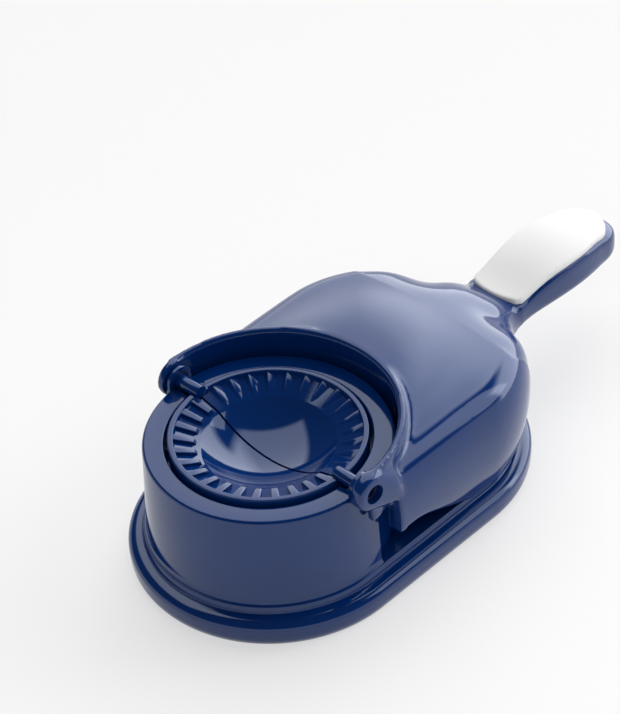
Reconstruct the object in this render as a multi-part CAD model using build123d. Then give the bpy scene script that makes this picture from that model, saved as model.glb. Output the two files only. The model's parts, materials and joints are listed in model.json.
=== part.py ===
"""Hand-operated empanada press: a base with a dough bed and a fixed mould half, and a flip-over lid.

Units are millimetres.  +Z is up, +Y points along the handle and +X is to the right of someone who faces
the mould.  Everything is drawn with the drum's axis on the Z axis and the table at Z = 0, and the finished
pieces are then moved along Y so that the origin lies under the middle of the whole press.
"""
from build123d import *
import os
from math import cos, radians, sin, sqrt

# ---------------------------------------------------------------- driving sizes
DRUM_R = 50.0              # outside radius of the drum at its top ring
DRUM_FLARE = 1.5           # the drum is this much wider where it meets the base
DRUM_TOP = 58.0            # height of the top ring above the table
DRUM_WALL = 2.6
RING_THICK = 3.4
RING_WIDTH = 8.75          # from the drum's edge to the round opening in the top ring
SLEEVE_WALL = 2.0          # wall that hangs below the opening
CUT_ANGLE = 9.0            # the full wall ends this far behind the hinge line
REAR_STEP = 3.2            # the wall steps in by this much behind the hinge line
CUP_FLOOR_Z = 39.0         # underside of the floor below the mould
CUP_FLOOR = 2.4

BASE_SPACING = 67.1        # from the drum's axis to the centre of the rear end
PLATFORM_Z = 15.2          # top of the base
BEAD_HALF = 0.5            # fine bead round the drum's foot: half its width
BEAD_RISE = 0.45
GROOVE_DEPTH = 3.3         # groove outside the bead
BAND_RISE = 0.4            # the skirt's shoulder stands this far above the groove
SKIRT_REACH = 8.2          # the skirt is this much wider than the drum's foot
SKIRT_WIDE_Z = 4.6
SKIRT_BOTTOM = 0.9
SKIRT_RUNS = 4             # straight runs that make up the skirt's bulge
BASE_WALL = 2.6
COVER_THICK = 3.2
COVER_SCREW_IN = 8.2       # the cover's screws lie this far inside the bead
COVER_SCREW_TURN = 65.0    # and this many degrees towards the ends
COVER_LIFT = 1.6           # underside of the bottom cover above the table
FOOT_R = 7.0
FOOT_IN = 19.2             # the feet's centres lie this far inside the skirt
FOOT_TURN = 20.2
FOOT_DEPTH = 1.0           # how far a foot reaches into the cover

HINGE_RISE = 2.35          # hinge axis above the top ring
EAR_R = 8.0
EAR_THICK = {-1: 3.6, 1: 5.8}   # left and right: the right ear stands out round its open bore
EAR_ROUND = 1.4
LUG_R = 6.2
LUG_THICK = 1.9
HINGE_GAP = 0.45           # side gap between lug and ear
BUSH_R = 4.2
BUSH_BORE_R = 2.95
BUSH_SINK = {-1: 0.2, 1: 2.4}   # the bushes end this far inside the ears' faces
RUN_FIT = 0.05             # radial clearance of everything that turns in a bore
SEAT_FIT = 0.2             # clearance of pieces that sit in one another
FACE_GAP = 0.3             # between the two mould rims when the mould is shut

MOULD_ROOM = 1.35          # gap between the mould and the opening
MOULD_WALL = 2.2
RIM_WIDTH = 2.3
BAND_WIDTH = 12.3          # from the bowl to the mould's edge
BAND_IN_DROP = 2.9         # band's inner edge below the top ring
BAND_OUT_DROP = 0.2
BOWL_DEPTH = 12.4          # bowl's deepest point below the top ring
BOWL_RUNS = 4              # straight runs that make up the bowl's section
SKIRT_DROP = 6.0           # the mould's outer wall ends this far below the top ring
FOLD_GAP = 1.0             # gap along the fold line
TEETH = 15                 # crimping teeth in each half
TOOTH_HEIGHT = 1.4
TOOTH_SHARE = 0.42         # tooth width as a share of the pitch

LID_REACH = 6.7            # the dome is this much wider than the lip's inner wall
LID_FLARE = 3.7            # and draws in by this much at its lower edge
LID_CENTRE = 70.5          # centre of the dome behind the drum's axis
LID_TILT = 5.0             # the dome leans back by this angle
LID_CROWN = 8.5            # top of the lid above the drum's ring
LID_WALL = 2.5
DOME_RUNS = 8              # straight runs that make up the dome's section
LID_LIFT = 0.6             # lower edge of the lid above the platform
LIP_ROOM = 1.5             # gap between the drum's ring and the lip round it
LIP_THICK = 3.2
LIP_RISE = 10.4            # top of the lip above the ring, at the ears
LIP_TILT = 1.8             # the lip rises towards the back by this angle
LIP_DROP = 14.0            # the lid's front wall ends this far below the ring
SIDE_FRONT = 12.5          # front end of the lid's side walls
SIDE_FRONT_DROP = 28.6     # their lower corner below the ring

HANDLE_END = 208.2         # tip of the handle behind the drum's axis
HANDLE_HALF = 15.2         # half its greatest width
HANDLE_TIP_R = 14.4        # rounding of the tip, seen from above
HANDLE_TIP_LEAN = 5.0      # the tip's rim lies this far inside its widest point
NECK_HALF = 14.2           # half its width at the neck
NECK_Y = 138.0
NECK_ROOT_Y = 104.0        # the neck starts here, inside the dome
NECK_ROOT_HALF = 30.0
NECK_RISE = 14.5           # and this far above the handle's rim
HANDLE_TOP_DROP = 14.0     # handle's rim below the ring
HANDLE_DEPTH = 11.4
HANDLE_WALL = 2.6
HANDLE_FLOOR = 3.6
HANDLE_LOW_CUT = 2.8       # width of the chamfer along the handle's lower edges
HANDLE_RIM_CUT = 0.8       # and along its rim
INSERT_FRONT = 132.4       # front end of the pale insert
INSERT_END = 202.4
INSERT_HALF = 13.5
INSERT_NECK_HALF = 11.7
INSERT_TIP_R = 12.7
INSERT_EDGE = 1.9          # the insert's edge above the handle's rim
INSERT_CROWN = 2.0         # its crown above that edge
INSERT_RECESS = 1.6        # how deep it sits in the handle

BED_R = 30.5               # dough bed below the lid
BED_Y = 86.0
BED_HEIGHT = 8.6
BED_RIM = 1.8
BED_RIM_RISE = 1.2
PAD_THICK = 1.0
DOUGH_GAP = 1.6            # space left for the dough
PRESS_R = 28.0
PRESS_THICK = 4.0
LINER_THICK = 2.4

SCREW_R = 1.5
SCREW_HEAD_R = 2.9
SCREW_HEAD = 1.8
SCREW_SINK = 0.6           # handle screws' heads lie this deep in the handle
POST_R = 3.6
STUB_ROOM = 0.4            # room round the folding half's stubs where they pass the ring

# ---------------------------------------------------------------- sizes that follow
DRUM_FOOT_R = DRUM_R + DRUM_FLARE
OPENING_R = DRUM_R - RING_WIDTH
MOULD_R = OPENING_R - MOULD_ROOM
BAND_IN_R = MOULD_R - BAND_WIDTH
SKIRT_R = DRUM_FOOT_R + SKIRT_REACH
LIP_R = DRUM_R + LIP_ROOM
LID_R = LIP_R + LID_REACH
LID_FOOT_R = LID_R - LID_FLARE
HINGE_Z = DRUM_TOP + HINGE_RISE
RIM_Z = HINGE_Z - FACE_GAP / 2
LUG_IN = DRUM_R + 0.4 - LUG_THICK
LUG_OUT = DRUM_R + 0.4
EAR_IN = LUG_OUT + HINGE_GAP
EAR_OUT = {side: EAR_IN + thick for side, thick in EAR_THICK.items()}
STUB_R = BUSH_BORE_R - RUN_FIT
NOTCH_HALF = STUB_R + STUB_ROOM
STUB_ROOT = MOULD_R - RIM_WIDTH - 0.8
BEAD_R = DRUM_FOOT_R + SEAT_FIT + BEAD_HALF
COVER_SCREW_R = BEAD_R - COVER_SCREW_IN
FOOT_CIRCLE = SKIRT_R - FOOT_IN
LID_BOTTOM = PLATFORM_Z + LID_LIFT
COVER_TOP = COVER_LIFT + COVER_THICK
PAD_Z = PLATFORM_Z + BED_HEIGHT
PRESS_Z = PAD_Z + PAD_THICK + DOUGH_GAP
LINER_Z = PRESS_Z + PRESS_THICK
LINER_TOP = LINER_Z + LINER_THICK
HANDLE_RIM_Z = DRUM_TOP - HANDLE_TOP_DROP
HANDLE_LOW_Z = HANDLE_RIM_Z - HANDLE_DEPTH
POST_FOOT_Z = HANDLE_LOW_Z + HANDLE_FLOOR
PLACE = Pos(0, (SKIRT_R - HANDLE_END) / 2, 0)

# ---------------------------------------------------------------- helpers


def upright(*edges):
    """Face in the XZ plane from edges given as (radius, height)."""
    return Plane.XZ * make_face(Wire(list(edges)))


def chords(curve, count):
    """Straight runs that follow a curve, so that a turned face stays a short stack of cones."""
    return [Line(curve @ (step / count), curve @ ((step + 1) / count)) for step in range(count)]


def upright_polygon(*points):
    """Face in the XZ plane with straight sides."""
    return Plane.XZ * make_face(Polyline(*points, close=True))


def ring_sector(profile, start, arc):
    """Revolve an XZ profile round the drum's axis from one angle over an arc, in degrees from +X."""
    return Rot(0, 0, start) * revolve(profile, Axis.Z, arc)


def tube(radius, bore, bottom, top, centre=(0, 0)):
    """Round tube, or a plain cylinder when the bore is zero."""
    height = top - bottom
    body = extrude(Pos(centre[0], centre[1], bottom) * Circle(radius), height)
    if bore > 0:
        body -= extrude(Pos(centre[0], centre[1], bottom) * Circle(bore), height)
    return body


def cross_tube(radius, bore, inner, outer, side):
    """Tube along X round the hinge axis, between two distances from the middle."""
    start = inner if side > 0 else -outer
    plane = Plane(origin=(start, 0, HINGE_Z), x_dir=(0, 1, 0), z_dir=(1, 0, 0))
    body = extrude(plane * Circle(radius), outer - inner)
    if bore > 0:
        body -= extrude(plane * Circle(bore), outer - inner)
    return body


def block(x0, x1, y0, y1, z0, z1):
    """Box between two corners."""
    size = (x1 - x0, y1 - y0, z1 - z0)
    return Pos((x0 + x1) / 2, (y0 + y1) / 2, (z0 + z1) / 2) * Box(*size)


def stadium_sweep(profile):
    """Carry a half profile round the base's outline: two half turns and two straight runs."""
    turn = revolve(profile, Axis.Z, 180)
    run = extrude(profile, BASE_SPACING, dir=(0, 1, 0))
    return Rot(0, 0, 180) * turn + Pos(0, BASE_SPACING, 0) * turn + run + mirror(run, about=Plane.YZ)


def stadium_plate(radius, bottom, top):
    """Flat plate with the base's outline."""
    return stadium_sweep(upright_polygon((0, bottom), (radius, bottom), (radius, top), (0, top)))


def screw(x, y, head_z, tip_z):
    """Pan-head screw that points up from its head."""
    head = tube(SCREW_HEAD_R, 0, head_z, head_z + SCREW_HEAD, (x, y))
    return head + tube(SCREW_R, 0, head_z, tip_z, (x, y))


def screw_holes(body, places, bottom, top):
    """Clear holes for screws right through a wall."""
    for x, y in places:
        body -= tube(SCREW_R + RUN_FIT, 0, bottom, top, (x, y))
    return body


# ---------------------------------------------------------------- places of fasteners, posts and feet
MOULD_POSTS = [(-MOULD_R / 3, -11.0), (MOULD_R / 3, -11.0)]
COVER_SCREW_X = COVER_SCREW_R * cos(radians(COVER_SCREW_TURN))
COVER_SCREW_Y = COVER_SCREW_R * sin(radians(COVER_SCREW_TURN))
COVER_SCREWS = [(x, y) for x in (-COVER_SCREW_X, COVER_SCREW_X)
                for y in (-COVER_SCREW_Y, BASE_SPACING + COVER_SCREW_Y)]
FOOT_X = FOOT_CIRCLE * cos(radians(FOOT_TURN))
FOOT_Y = FOOT_CIRCLE * sin(radians(FOOT_TURN))
FEET = {
    "front_left": (-FOOT_X, -FOOT_Y),
    "front_right": (FOOT_X, -FOOT_Y),
    "rear_left": (-FOOT_X, BASE_SPACING + FOOT_Y),
    "rear_right": (FOOT_X, BASE_SPACING + FOOT_Y),
}
LINER_SCREWS = [(-42.0, 64.0), (42.0, 64.0), (-31.0, 98.0), (31.0, 98.0)]
HANDLE_SCREWS = [(0.0, 150.0), (0.0, 190.0)]

# ---------------------------------------------------------------- base


def skirt_profile(inset):
    """Base section from the middle out to the skirt, or its inner face when inset by the wall."""
    top = PLATFORM_Z - inset
    if inset > 0:
        return upright(
            Line((0, -1), (0, top)),
            Line((0, top), (BEAD_R - 1.4, top)),
            *chords(Spline((BEAD_R - 1.4, top), (BEAD_R + 1.4, top - 3.2), (SKIRT_R - inset, SKIRT_WIDE_Z),
                           tangents=[(1, -0.2), (0, -1)]), SKIRT_RUNS // 2),
            Line((SKIRT_R - inset, SKIRT_WIDE_Z), (SKIRT_R - inset, -1)),
            Line((SKIRT_R - inset, -1), (0, -1)),
        )
    groove = top - GROOVE_DEPTH
    inner = BEAD_R + BEAD_HALF
    shoulder = inner + 2.7
    return upright(
        Line((0, SKIRT_BOTTOM), (0, top)),
        Line((0, top), (BEAD_R - BEAD_HALF, top)),
        Line((BEAD_R - BEAD_HALF, top), (BEAD_R, top + BEAD_RISE)),
        Line((BEAD_R, top + BEAD_RISE), (inner, top - 0.4)),
        Line((inner, top - 0.4), (inner + 0.8, groove)),
        Line((inner + 0.8, groove), (shoulder, groove + BAND_RISE)),
        Line((shoulder, groove + BAND_RISE), (shoulder + 1.1, groove - 0.7)),
        *chords(Spline((shoulder + 1.1, groove - 0.7), (SKIRT_R - 1.3, groove - 4.1), (SKIRT_R, SKIRT_WIDE_Z),
                       (SKIRT_R - 1.1, SKIRT_BOTTOM + 0.9), (SKIRT_R - 2.4, SKIRT_BOTTOM)), SKIRT_RUNS),
        Line((SKIRT_R - 2.4, SKIRT_BOTTOM), (0, SKIRT_BOTTOM)),
    )


def base_shell():
    """Hollow base with its skirt, ridge and groove, and posts below for the cover's screws."""
    body = stadium_sweep(skirt_profile(0)) - stadium_sweep(skirt_profile(BASE_WALL))
    for place in COVER_SCREWS:
        body += tube(POST_R, 0, COVER_TOP, PLATFORM_Z - BASE_WALL / 2, place)
        body -= tube(SCREW_R + RUN_FIT, 0, COVER_TOP, PLATFORM_Z - BASE_WALL, place)
    return body


def base_cover():
    """Plate that closes the base from below, with a seat for each foot."""
    radius = SKIRT_R - BASE_WALL - SEAT_FIT
    plate = stadium_plate(radius, COVER_LIFT, COVER_TOP)
    for place in FEET.values():
        plate -= tube(FOOT_R + RUN_FIT, 0, COVER_LIFT - 1, COVER_LIFT + FOOT_DEPTH, place)
    for place in COVER_SCREWS:
        plate -= tube(SCREW_HEAD_R + SEAT_FIT, 0, COVER_LIFT - 1, COVER_LIFT + SCREW_HEAD, place)
    return screw_holes(plate, COVER_SCREWS, COVER_LIFT - 1, COVER_TOP + 1)


def foot(place):
    """Round rubber foot, seated in the cover."""
    body = tube(FOOT_R, 0, 0, COVER_LIFT + FOOT_DEPTH, place)
    return chamfer(body.edges().group_by(Axis.Z)[0], 0.6)


# ---------------------------------------------------------------- drum


def drum_wall(angle_start, arc, step):
    """Part of the tapered outer wall, stepped in by a given amount."""
    foot_z = PLATFORM_Z + RUN_FIT
    top_z = DRUM_TOP - RING_THICK / 2
    slope = (DRUM_FOOT_R - DRUM_R) / (DRUM_TOP - foot_z)
    top_r = DRUM_R + slope * (DRUM_TOP - top_z) - step
    foot_r = DRUM_FOOT_R - step
    return ring_sector(
        upright_polygon((foot_r - DRUM_WALL, foot_z), (foot_r, foot_z), (top_r, top_z), (top_r - DRUM_WALL, top_z)),
        angle_start, arc)


def drum_ring():
    """Top ring with its rounded edges, the sleeve below the opening and the floor under the mould."""
    top = DRUM_TOP
    low = DRUM_TOP - RING_THICK
    sleeve = OPENING_R + SLEEVE_WALL
    edge_r = DRUM_R + (DRUM_FOOT_R - DRUM_R) * RING_THICK / (DRUM_TOP - PLATFORM_Z)
    ring = revolve(upright(
        Line((OPENING_R, top - 0.7), (OPENING_R, CUP_FLOOR_Z)),
        Line((OPENING_R, CUP_FLOOR_Z), (sleeve, CUP_FLOOR_Z)),
        Line((sleeve, CUP_FLOOR_Z), (sleeve, low)),
        Line((sleeve, low), (edge_r, low)),
        Line((edge_r, low), (DRUM_R, top - 1.3)),
        Line((DRUM_R, top - 1.3), (DRUM_R - 0.4, top - 0.4)),
        Line((DRUM_R - 0.4, top - 0.4), (DRUM_R - 1.3, top)),
        Line((DRUM_R - 1.3, top), (OPENING_R + 0.7, top)),
        Line((OPENING_R + 0.7, top), (OPENING_R, top - 0.7)),
    ), Axis.Z, 360)
    return ring + tube(OPENING_R + 0.5, 0, CUP_FLOOR_Z, CUP_FLOOR_Z + CUP_FLOOR)


def hinge_lug(side):
    """Round lug that stands up from the ring and carries the hinge."""
    x0, x1 = sorted((side * LUG_IN, side * LUG_OUT))
    body = cross_tube(LUG_R, 0, LUG_IN, LUG_OUT, side)
    body += block(x0, x1, -LUG_R, LUG_R, DRUM_TOP - 9.0, HINGE_Z)
    return body


def mould_drum():
    """Drum: full wall in front, stepped-in wall behind, top ring with its cup, and hinge lugs."""
    front = drum_wall(180 - CUT_ANGLE, 180 + 2 * CUT_ANGLE, 0)
    rear = drum_wall(CUT_ANGLE - 1, 180 - 2 * CUT_ANGLE + 2, REAR_STEP)
    body = front + rear + drum_ring()
    for side in (-1, 1):
        turn = CUT_ANGLE if side > 0 else 180 - CUT_ANGLE
        rib = Rot(0, 0, turn) * block(DRUM_FOOT_R - REAR_STEP - DRUM_WALL, DRUM_R - 0.1, -1.2, 1.2,
                                      PLATFORM_Z + RUN_FIT, DRUM_TOP - RING_THICK)
        body += rib
        body += hinge_lug(side)
    for side in (-1, 1):
        x0, x1 = sorted((side * (OPENING_R - 2), side * LUG_IN))
        body -= block(x0, x1, -NOTCH_HALF, NOTCH_HALF, DRUM_TOP - RING_THICK - 1, DRUM_TOP + 9)
        body -= cross_tube(BUSH_R + RUN_FIT, 0, LUG_IN - 1, LUG_OUT + 1, side)
    return body


# ---------------------------------------------------------------- mould


def dish_profile():
    """Half section of a mould half: bowl, sloping crimping band, rim and outer wall."""
    top = DRUM_TOP
    rim_in = MOULD_R - RIM_WIDTH
    bowl = BOWL_DEPTH - BAND_IN_DROP
    mid_r = BAND_IN_R / 2
    sphere = (BAND_IN_R ** 2 + bowl ** 2) / (2 * bowl)
    back = sphere + MOULD_WALL
    centre_z = top - BOWL_DEPTH + sphere
    back_r = BAND_IN_R + 0.6
    return upright(
        *chords(ThreePointArc((0, top - BOWL_DEPTH), (mid_r, centre_z - sqrt(sphere ** 2 - mid_r ** 2)),
                              (BAND_IN_R, top - BAND_IN_DROP)), BOWL_RUNS),
        Line((BAND_IN_R, top - BAND_IN_DROP), (rim_in - 0.4, top - BAND_OUT_DROP)),
        Line((rim_in - 0.4, top - BAND_OUT_DROP), (rim_in, RIM_Z)),
        Line((rim_in, RIM_Z), (MOULD_R - 0.6, RIM_Z)),
        Line((MOULD_R - 0.6, RIM_Z), (MOULD_R, RIM_Z - 0.6)),
        Line((MOULD_R, RIM_Z - 0.6), (MOULD_R, top - SKIRT_DROP)),
        Line((MOULD_R, top - SKIRT_DROP), (MOULD_R - MOULD_WALL, top - SKIRT_DROP)),
        Line((MOULD_R - MOULD_WALL, top - SKIRT_DROP), (MOULD_R - MOULD_WALL, top - BAND_OUT_DROP - MOULD_WALL)),
        Line((MOULD_R - MOULD_WALL, top - BAND_OUT_DROP - MOULD_WALL), (back_r, centre_z - sqrt(back ** 2 - back_r ** 2))),
        *chords(ThreePointArc((back_r, centre_z - sqrt(back ** 2 - back_r ** 2)),
                              (mid_r, centre_z - sqrt(back ** 2 - mid_r ** 2)), (0, centre_z - back)), BOWL_RUNS),
        Line((0, centre_z - back), (0, top - BOWL_DEPTH)),
    )


def band_z(radius):
    """Height of the crimping band's surface at a radius."""
    rim_in = MOULD_R - RIM_WIDTH - 0.4
    share = (radius - BAND_IN_R) / (rim_in - BAND_IN_R)
    return DRUM_TOP - BAND_IN_DROP + share * (BAND_IN_DROP - BAND_OUT_DROP)


def square_tooth(angle):
    """Square-edged crimping tooth of the fixed half: a straight rib with a level top."""
    inner = BAND_IN_R + 0.8
    outer = MOULD_R - RIM_WIDTH + 0.2
    width = radians(180 / TEETH * TOOTH_SHARE) * (inner + outer) / 2
    profile = upright_polygon((inner, band_z(inner) - 0.3), (outer, band_z(outer) - 0.3),
                              (outer, band_z(outer) + TOOTH_HEIGHT), (inner + 1.0, band_z(inner + 1.0) + TOOTH_HEIGHT))
    return Rot(0, 0, angle) * extrude(profile, width / 2, both=True)


def pointed_tooth(angle):
    """Pointed crimping tooth of the folding half: a three-sided ridge that fades towards the bowl."""
    outer = MOULD_R - RIM_WIDTH + 0.2
    inner = BAND_IN_R + 0.6
    half = outer * sin(radians(90 / TEETH)) * 0.9
    lean = half * 0.35
    outer_face = Plane(origin=(outer, 0, band_z(outer)), x_dir=(0, 1, 0), z_dir=(1, 0, 0))
    inner_face = Plane(origin=(inner, 0, band_z(inner)), x_dir=(0, 1, 0), z_dir=(1, 0, 0))
    big = outer_face * make_face(Polyline((-half, -0.5), (half, -0.5), (lean, TOOTH_HEIGHT * 1.15), close=True))
    small = inner_face * make_face(Polyline((-half * 0.5, -0.5), (half * 0.5, -0.5), (lean * 0.5, 0.15), close=True))
    return Rot(0, 0, angle) * loft([big, small], ruled=True)


def half_dish(front):
    """One plain mould half, trimmed along the fold line."""
    start = 180 if front else 0
    body = ring_sector(dish_profile(), start, 180)
    y0, y1 = (-FOLD_GAP / 2, MOULD_R + 5) if front else (-MOULD_R - 5, FOLD_GAP / 2)
    return body - block(-MOULD_R - 5, MOULD_R + 5, y0, y1, 0, DRUM_TOP + 20)


def front_mould_half():
    """Fixed half with square teeth and two posts that stand on the drum's floor."""
    body = half_dish(True)
    pitch = 180 / TEETH
    for index in range(TEETH):
        body += square_tooth(180 + pitch * (index + 0.5))
    for place in MOULD_POSTS:
        body += tube(POST_R, 0, CUP_FLOOR_Z + CUP_FLOOR, DRUM_TOP - BOWL_DEPTH + 0.6, place)
    for side in (-1, 1):
        body -= cross_tube(STUB_R + STUB_ROOM, 0, STUB_ROOT - STUB_ROOM, MOULD_R + 2, side)
    return body


def rear_mould_half():
    """Folding half with pointed teeth and a stub at each end of the fold line."""
    body = half_dish(False)
    pitch = 180 / TEETH
    for index in range(1, TEETH):
        body += pointed_tooth(pitch * index)
    for side in (-1, 1):
        x0, x1 = sorted((side * STUB_ROOT, side * (MOULD_R - 0.4)))
        body += block(x0, x1, FOLD_GAP / 2, STUB_R + 1.2, DRUM_TOP - SKIRT_DROP, RIM_Z)
        body += cross_tube(STUB_R, 0, STUB_ROOT, LUG_OUT + 1.0, side)
    return body


# ---------------------------------------------------------------- hinge


def hinge_bush(side):
    """Hollow bush pressed into the lid's ear: it turns in the drum's lug and holds the mould's stub."""
    return cross_tube(BUSH_R, BUSH_BORE_R, LUG_IN + 0.2, EAR_OUT[side] - BUSH_SINK[side], side)


# ---------------------------------------------------------------- lid


def dome_profile(inset):
    """Half section of the lid's dome, from its lower edge over the shoulder to the crown."""
    top = DRUM_TOP
    deep = LID_BOTTOM - 12
    edge = chords(Spline(
        (LID_FOOT_R - 2.6 - inset, deep),
        (LID_FOOT_R - inset, LID_BOTTOM),
        (LID_R - 1.1 - inset, top - 31),
        (LID_R - inset, top - 16),
        (LID_R - 1.6 - inset * 0.9, top - 5.5 - inset * 0.2),
        (LID_R - 5.4 - inset * 0.7, top + 1.2 - inset * 0.7),
        (LID_R - 10.4 - inset * 0.4, top + LID_CROWN - 4.4 - inset),
        (0, top + LID_CROWN - inset),
        tangents=[(0.3, 1), (-1, 0)],
    ), DOME_RUNS if inset == 0 else DOME_RUNS // 2)
    return upright(
        *edge,
        Line((0, top + LID_CROWN - inset), (0, deep)),
        Line((0, deep), (LID_FOOT_R - 2.6 - inset, deep)),
    )


def dome(inset, front, bottom):
    """Leaning dome over the bed, whose middle section runs forward as the lid's straight sides."""
    pivot_z = DRUM_TOP + 4
    turned = Pos(0, 0, -pivot_z) * revolve(dome_profile(inset), Axis.Z, 360)
    leaning = Pos(0, LID_CENTRE, pivot_z) * Rot(-LID_TILT, 0, 0) * turned
    rear = leaning & block(-90, 90, LID_CENTRE, 200, bottom, 100)
    section = rear.faces().filter_by(GeomType.PLANE).sort_by(Axis.Y)[0]
    return rear + extrude(section, LID_CENTRE - front, dir=(0, -1, 0))


def point_at(curve, distance):
    """Point of a curve at a distance back from the drum's axis, found by halving."""
    low, high = 0.0, 1.0
    for _ in range(24):
        middle = (low + high) / 2
        if (curve @ middle).Y < distance:
            low = middle
        else:
            high = middle
    return curve @ low


def handle_edges():
    """Outer edge seen from above, and upper and lower edge seen from the side, all against distance."""
    bend = (HANDLE_TIP_R, HANDLE_END - HANDLE_TIP_R)
    plan = Spline(
        (NECK_ROOT_HALF, NECK_ROOT_Y), (NECK_ROOT_HALF - 5.5, NECK_ROOT_Y + 15.5), (NECK_HALF + 3.2, NECK_Y - 8.5),
        (NECK_HALF, NECK_Y), (NECK_HALF + 0.1, NECK_Y + 14), (HANDLE_HALF, HANDLE_END - 27), bend,
        tangents=[(-0.25, 1), (-0.12, 1)])
    rim, low, end = HANDLE_RIM_Z, HANDLE_LOW_Z, HANDLE_END - HANDLE_TIP_LEAN
    upper = Spline((rim + NECK_RISE, NECK_ROOT_Y), (rim + NECK_RISE * 0.45, NECK_ROOT_Y + 14),
                   (rim + NECK_RISE * 0.1, NECK_Y - 10), (rim + 0.1, NECK_Y), (rim + 0.7, NECK_Y + 27), (rim, end),
                   tangents=[(-0.35, 1), (-0.1, 1)])
    lower = Spline((low - 2.0, NECK_ROOT_Y), (low - 0.8, NECK_Y - 10), (low, NECK_Y + 7), (low, NECK_Y + 37),
                   (low - 1.0, end))
    return plan, upper, lower


def handle_section(distance, half, low, high):
    """Section of the handle: flat on top, well rounded below."""
    soft = min(HANDLE_LOW_CUT, half * 0.6, (high - low) * 0.3)
    edge = min(HANDLE_RIM_CUT, half * 0.4, (high - low) * 0.2)
    side = [(half, low + soft * 1.2), (half, high - edge), (half - edge, high)]
    outline = [(half - soft * 1.2, low)] + side
    plane = Plane(origin=(0, distance, 0), x_dir=(1, 0, 0), z_dir=(0, -1, 0))
    return plane * make_face(Polyline(*outline, *[(-x, z) for x, z in outline[::-1]], close=True))


def handle_bar():
    """Neck and handle: straight runs between sections, closer together at the neck and the tip."""
    plan, upper, lower = handle_edges()
    sections = []
    for share in (0, 0.1, 0.2, 0.29, 0.38, 0.52, 0.7, 0.86, 1):
        distance = NECK_ROOT_Y + share * (HANDLE_END - HANDLE_TIP_R - NECK_ROOT_Y)
        half = point_at(plan, distance).X
        sections.append(handle_section(distance, half, point_at(lower, distance).X, point_at(upper, distance).X))
    rim, low = HANDLE_RIM_Z, HANDLE_LOW_Z - 1.0
    for angle in (22, 42, 60, 75, 86):
        distance = HANDLE_END - HANDLE_TIP_R * (1 - sin(radians(angle)))
        past = max(0.0, distance - HANDLE_END + HANDLE_TIP_LEAN) / HANDLE_TIP_LEAN
        drop = 1 - sqrt(1 - min(0.98, past) ** 2)
        tip_z = low + 3.6
        sections.append(handle_section(distance, HANDLE_TIP_R * cos(radians(angle)), low + drop * (tip_z - low),
                                       rim - drop * (rim - tip_z)))
    return loft(sections, ruled=True)


def lip():
    """Raised collar round the drum, rounded on top and tilted a little up towards the back."""
    outer = LIP_R + LIP_THICK
    top = DRUM_TOP + LIP_RISE
    low = DRUM_TOP - LIP_DROP
    profile = upright(
        Line((LIP_R, top - 0.8), (LIP_R, low)),
        Line((LIP_R, low), (outer, low)),
        Line((outer, low), (outer, top - 2.4)),
        Line((outer, top - 2.4), (outer - 0.6, top - 0.8)),
        Line((outer - 0.6, top - 0.8), (outer - 2.0, top)),
        Line((outer - 2.0, top), (LIP_R + 0.8, top)),
        Line((LIP_R + 0.8, top), (LIP_R, top - 0.8)),
    )
    return Pos(0, 0, HINGE_Z) * Rot(LIP_TILT, 0, 0) * Pos(0, 0, -HINGE_Z) * revolve(profile, Axis.Z, 180)


def ear(side):
    """Ear that takes the bush, rounded in front and running back into the side wall."""
    outer = EAR_OUT[side]
    x0, x1 = sorted((side * EAR_IN, side * outer))
    body = cross_tube(EAR_R, 0, EAR_IN, outer, side)
    body = chamfer(body.edges().filter_by(GeomType.CIRCLE).sort_by(Axis.X)[-1 if side > 0 else 0], EAR_ROUND)
    return body + block(x0, x1, 0, SIDE_FRONT + 4, HINGE_Z - EAR_R, HINGE_Z + 1)


def lid_outer():
    """Everything outside the lid: dome, side walls, collar, ears, neck and handle, not yet hollow."""
    keep = dome(0, SIDE_FRONT, LID_BOTTOM)
    lower = Plane.YZ * make_face(Wire([
        Line((SIDE_FRONT - 30, 0), (SIDE_FRONT - 30, DRUM_TOP - SIDE_FRONT_DROP)),
        Line((SIDE_FRONT - 30, DRUM_TOP - SIDE_FRONT_DROP), (SIDE_FRONT + 6, DRUM_TOP - SIDE_FRONT_DROP)),
        Spline((SIDE_FRONT + 6, DRUM_TOP - SIDE_FRONT_DROP), (SIDE_FRONT + 24, DRUM_TOP - SIDE_FRONT_DROP - 5.6),
               (SIDE_FRONT + 46, LID_BOTTOM), tangents=[(1, 0), (1, -0.25)]),
        Line((SIDE_FRONT + 46, LID_BOTTOM), (SIDE_FRONT + 46, 0)),
        Line((SIDE_FRONT + 46, 0), (SIDE_FRONT - 30, 0)),
    ]))
    keep -= extrude(lower, 80, both=True)
    body = keep + handle_bar() - tube(LIP_R + LIP_THICK / 3, 0, -1, DRUM_TOP + 40) + lip()
    for side in (-1, 1):
        body += ear(side)
    return body


def lid_cavity():
    """Hollow below the dome, closed in front by the wall behind the drum."""
    hollow = dome(LID_WALL, SIDE_FRONT + LID_WALL, LID_BOTTOM - 3)
    return hollow - tube(LIP_R + LID_WALL, 0, DRUM_TOP - LIP_DROP, DRUM_TOP + 40)


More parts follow.
